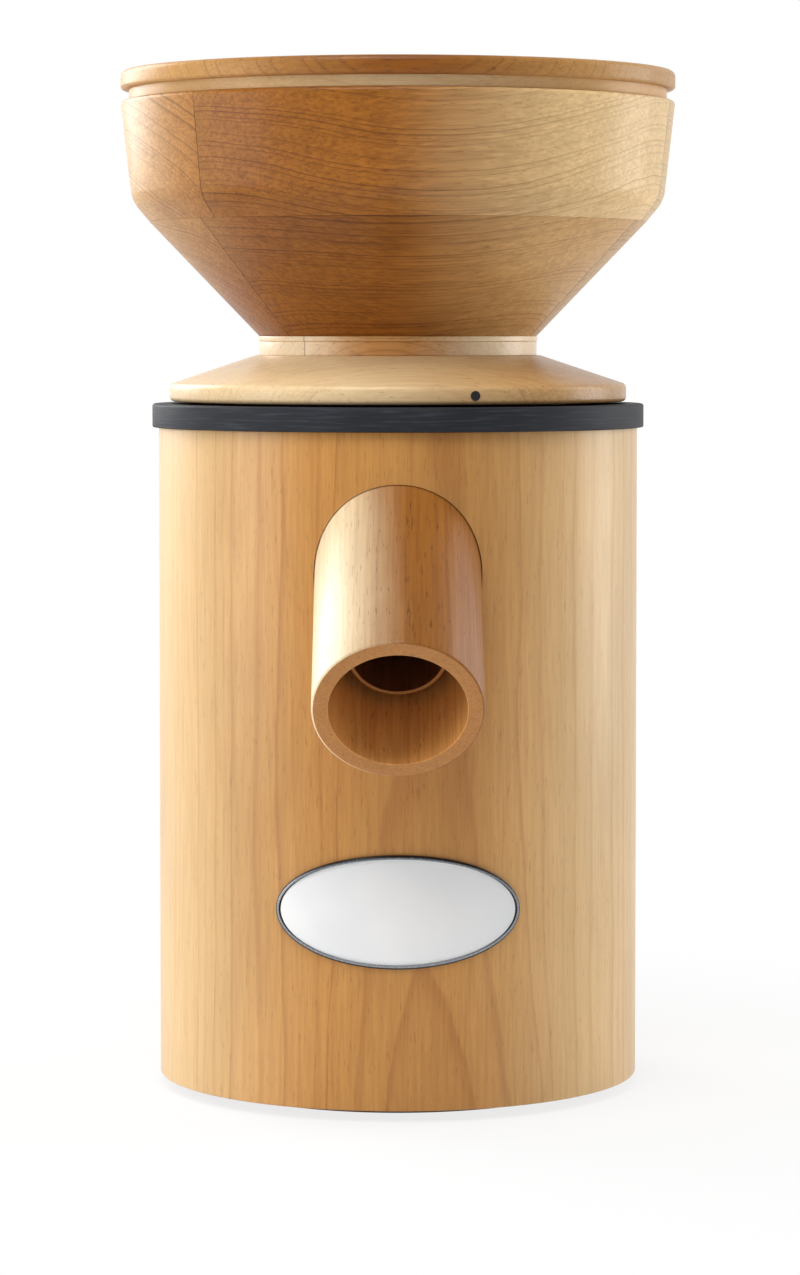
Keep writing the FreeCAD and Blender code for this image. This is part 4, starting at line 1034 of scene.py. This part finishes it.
for part in frame["record"]["subparts"]:
    if part["material_slot"] in finishes:
        for materialSlot in nodes[part["node"]].material_slots:
            materialSlot.material = finishes[part["material_slot"]]
print("finishes set:", len(finishes))


# floor, lamps and world
def pureWhite(tree, kind, strength=1.0):
    return put(tree, kind, inputs={"Color": (1, 1, 1, 1), "Strength": strength})


def mixShaders(tree, share, first, second):
    return put(tree, "MixShader", inputs={0: share, 1: first.outputs[0], 2: second.outputs[0]})


floor = dict(size=16.0, color=0.82, whitePart=0.80, fadeFrom=0.12, fadeTo=0.42)


def makeFloor():
    # to the camera it is mostly white, near the mill a little less, so that the shadow stays
    bpy.ops.mesh.primitive_plane_add(size=floor["size"], location=(0, 0, 0))
    plane = bpy.context.active_object
    plane.name = "floor"
    material = bpy.data.materials.new("floorPale")
    material.use_nodes = True
    tree = material.node_tree
    tree.nodes.clear()
    output = tree.nodes.new("ShaderNodeOutputMaterial")
    matte = put(tree, "BsdfDiffuse", inputs={"Color": (floor["color"],) * 3 + (1.0,)})
    path = put(tree, "LightPath")
    seen = calc(tree, "MAXIMUM", path.outputs["Is Camera Ray"], path.outputs["Is Glossy Ray"])
    seen = calc(tree, "MAXIMUM", seen, path.outputs["Is Transmission Ray"])
    away = put(tree, "VectorMath", operation="LENGTH", inputs={0: objectPlace(tree)}).outputs["Value"]
    whiter = remap(tree, away, floor["fadeFrom"], floor["fadeTo"], floor["whitePart"], 1.0)
    mix = mixShaders(tree, calc(tree, "MULTIPLY", seen, whiter), matte, pureWhite(tree, "Emission"))
    tree.links.new(mix.outputs[0], output.inputs[0])
    plane.data.materials.append(material)


makeFloor()

lamps = {
    "leftBackSoftbox": dict(place=(-1.05, 1.0, 0.75), aim=(0, 0, 0.25), size=(0.9, 0.9), power=15.0),
    "leftSoftbox": dict(place=(-1.3, -0.5, 0.55), aim=(0, 0, 0.22), size=(0.7, 1.2), power=8.0),
    "rightSoftbox": dict(place=(1.2, 0.4, 0.42), aim=(0, 0, 0.22), size=(0.6, 1.2), power=9.0),
    "topPanel": dict(place=(-0.25, -0.8, 1.6), aim=(0, 0, 0.2), size=(0.9, 0.9), power=15.0),
}


def makeLamps():
    for name, lamp in lamps.items():
        data = bpy.data.lights.new(name, "AREA")
        data.shape = "RECTANGLE"
        data.size, data.size_y = lamp["size"]
        data.energy = lamp["power"]
        lampObject = bpy.data.objects.new(name, data)
        lampObject.location = lamp["place"]
        aim = Vector(lamp["aim"]) - Vector(lamp["place"])
        lampObject.rotation_euler = aim.to_track_quat("-Z", "Y").to_euler()
        bpy.context.scene.collection.objects.link(lampObject)


makeLamps()

# the world is white to the camera, plain to matte surfaces, and to shiny ones white behind and dim in front
world = dict(diffuse=0.42, dimReflection=0.12, turnsWhite=(0.2, 0.7))


def makeWorld():
    scene = bpy.context.scene
    scene.world = bpy.data.worlds.new("studio")
    scene.world.use_nodes = True
    tree = scene.world.node_tree
    tree.nodes.clear()
    output = tree.nodes.new("ShaderNodeOutputWorld")
    path = put(tree, "LightPath")
    direction = splitAxes(tree, put(tree, "TexCoord").outputs["Generated"])
    reflected = remap(tree, direction[1], *world["turnsWhite"], world["dimReflection"], 1.0)
    shiny = calc(tree, "MAXIMUM", path.outputs["Is Glossy Ray"], path.outputs["Is Transmission Ray"])
    lit = mixShaders(tree, shiny, pureWhite(tree, "Background", world["diffuse"]),
                     pureWhite(tree, "Background", reflected))
    mix = mixShaders(tree, path.outputs["Is Camera Ray"], lit, pureWhite(tree, "Background"))
    tree.links.new(mix.outputs[0], output.inputs[0])


makeWorld()
bpy.context.scene.view_settings.view_transform = "Standard"
print("floor, lamps and world set")
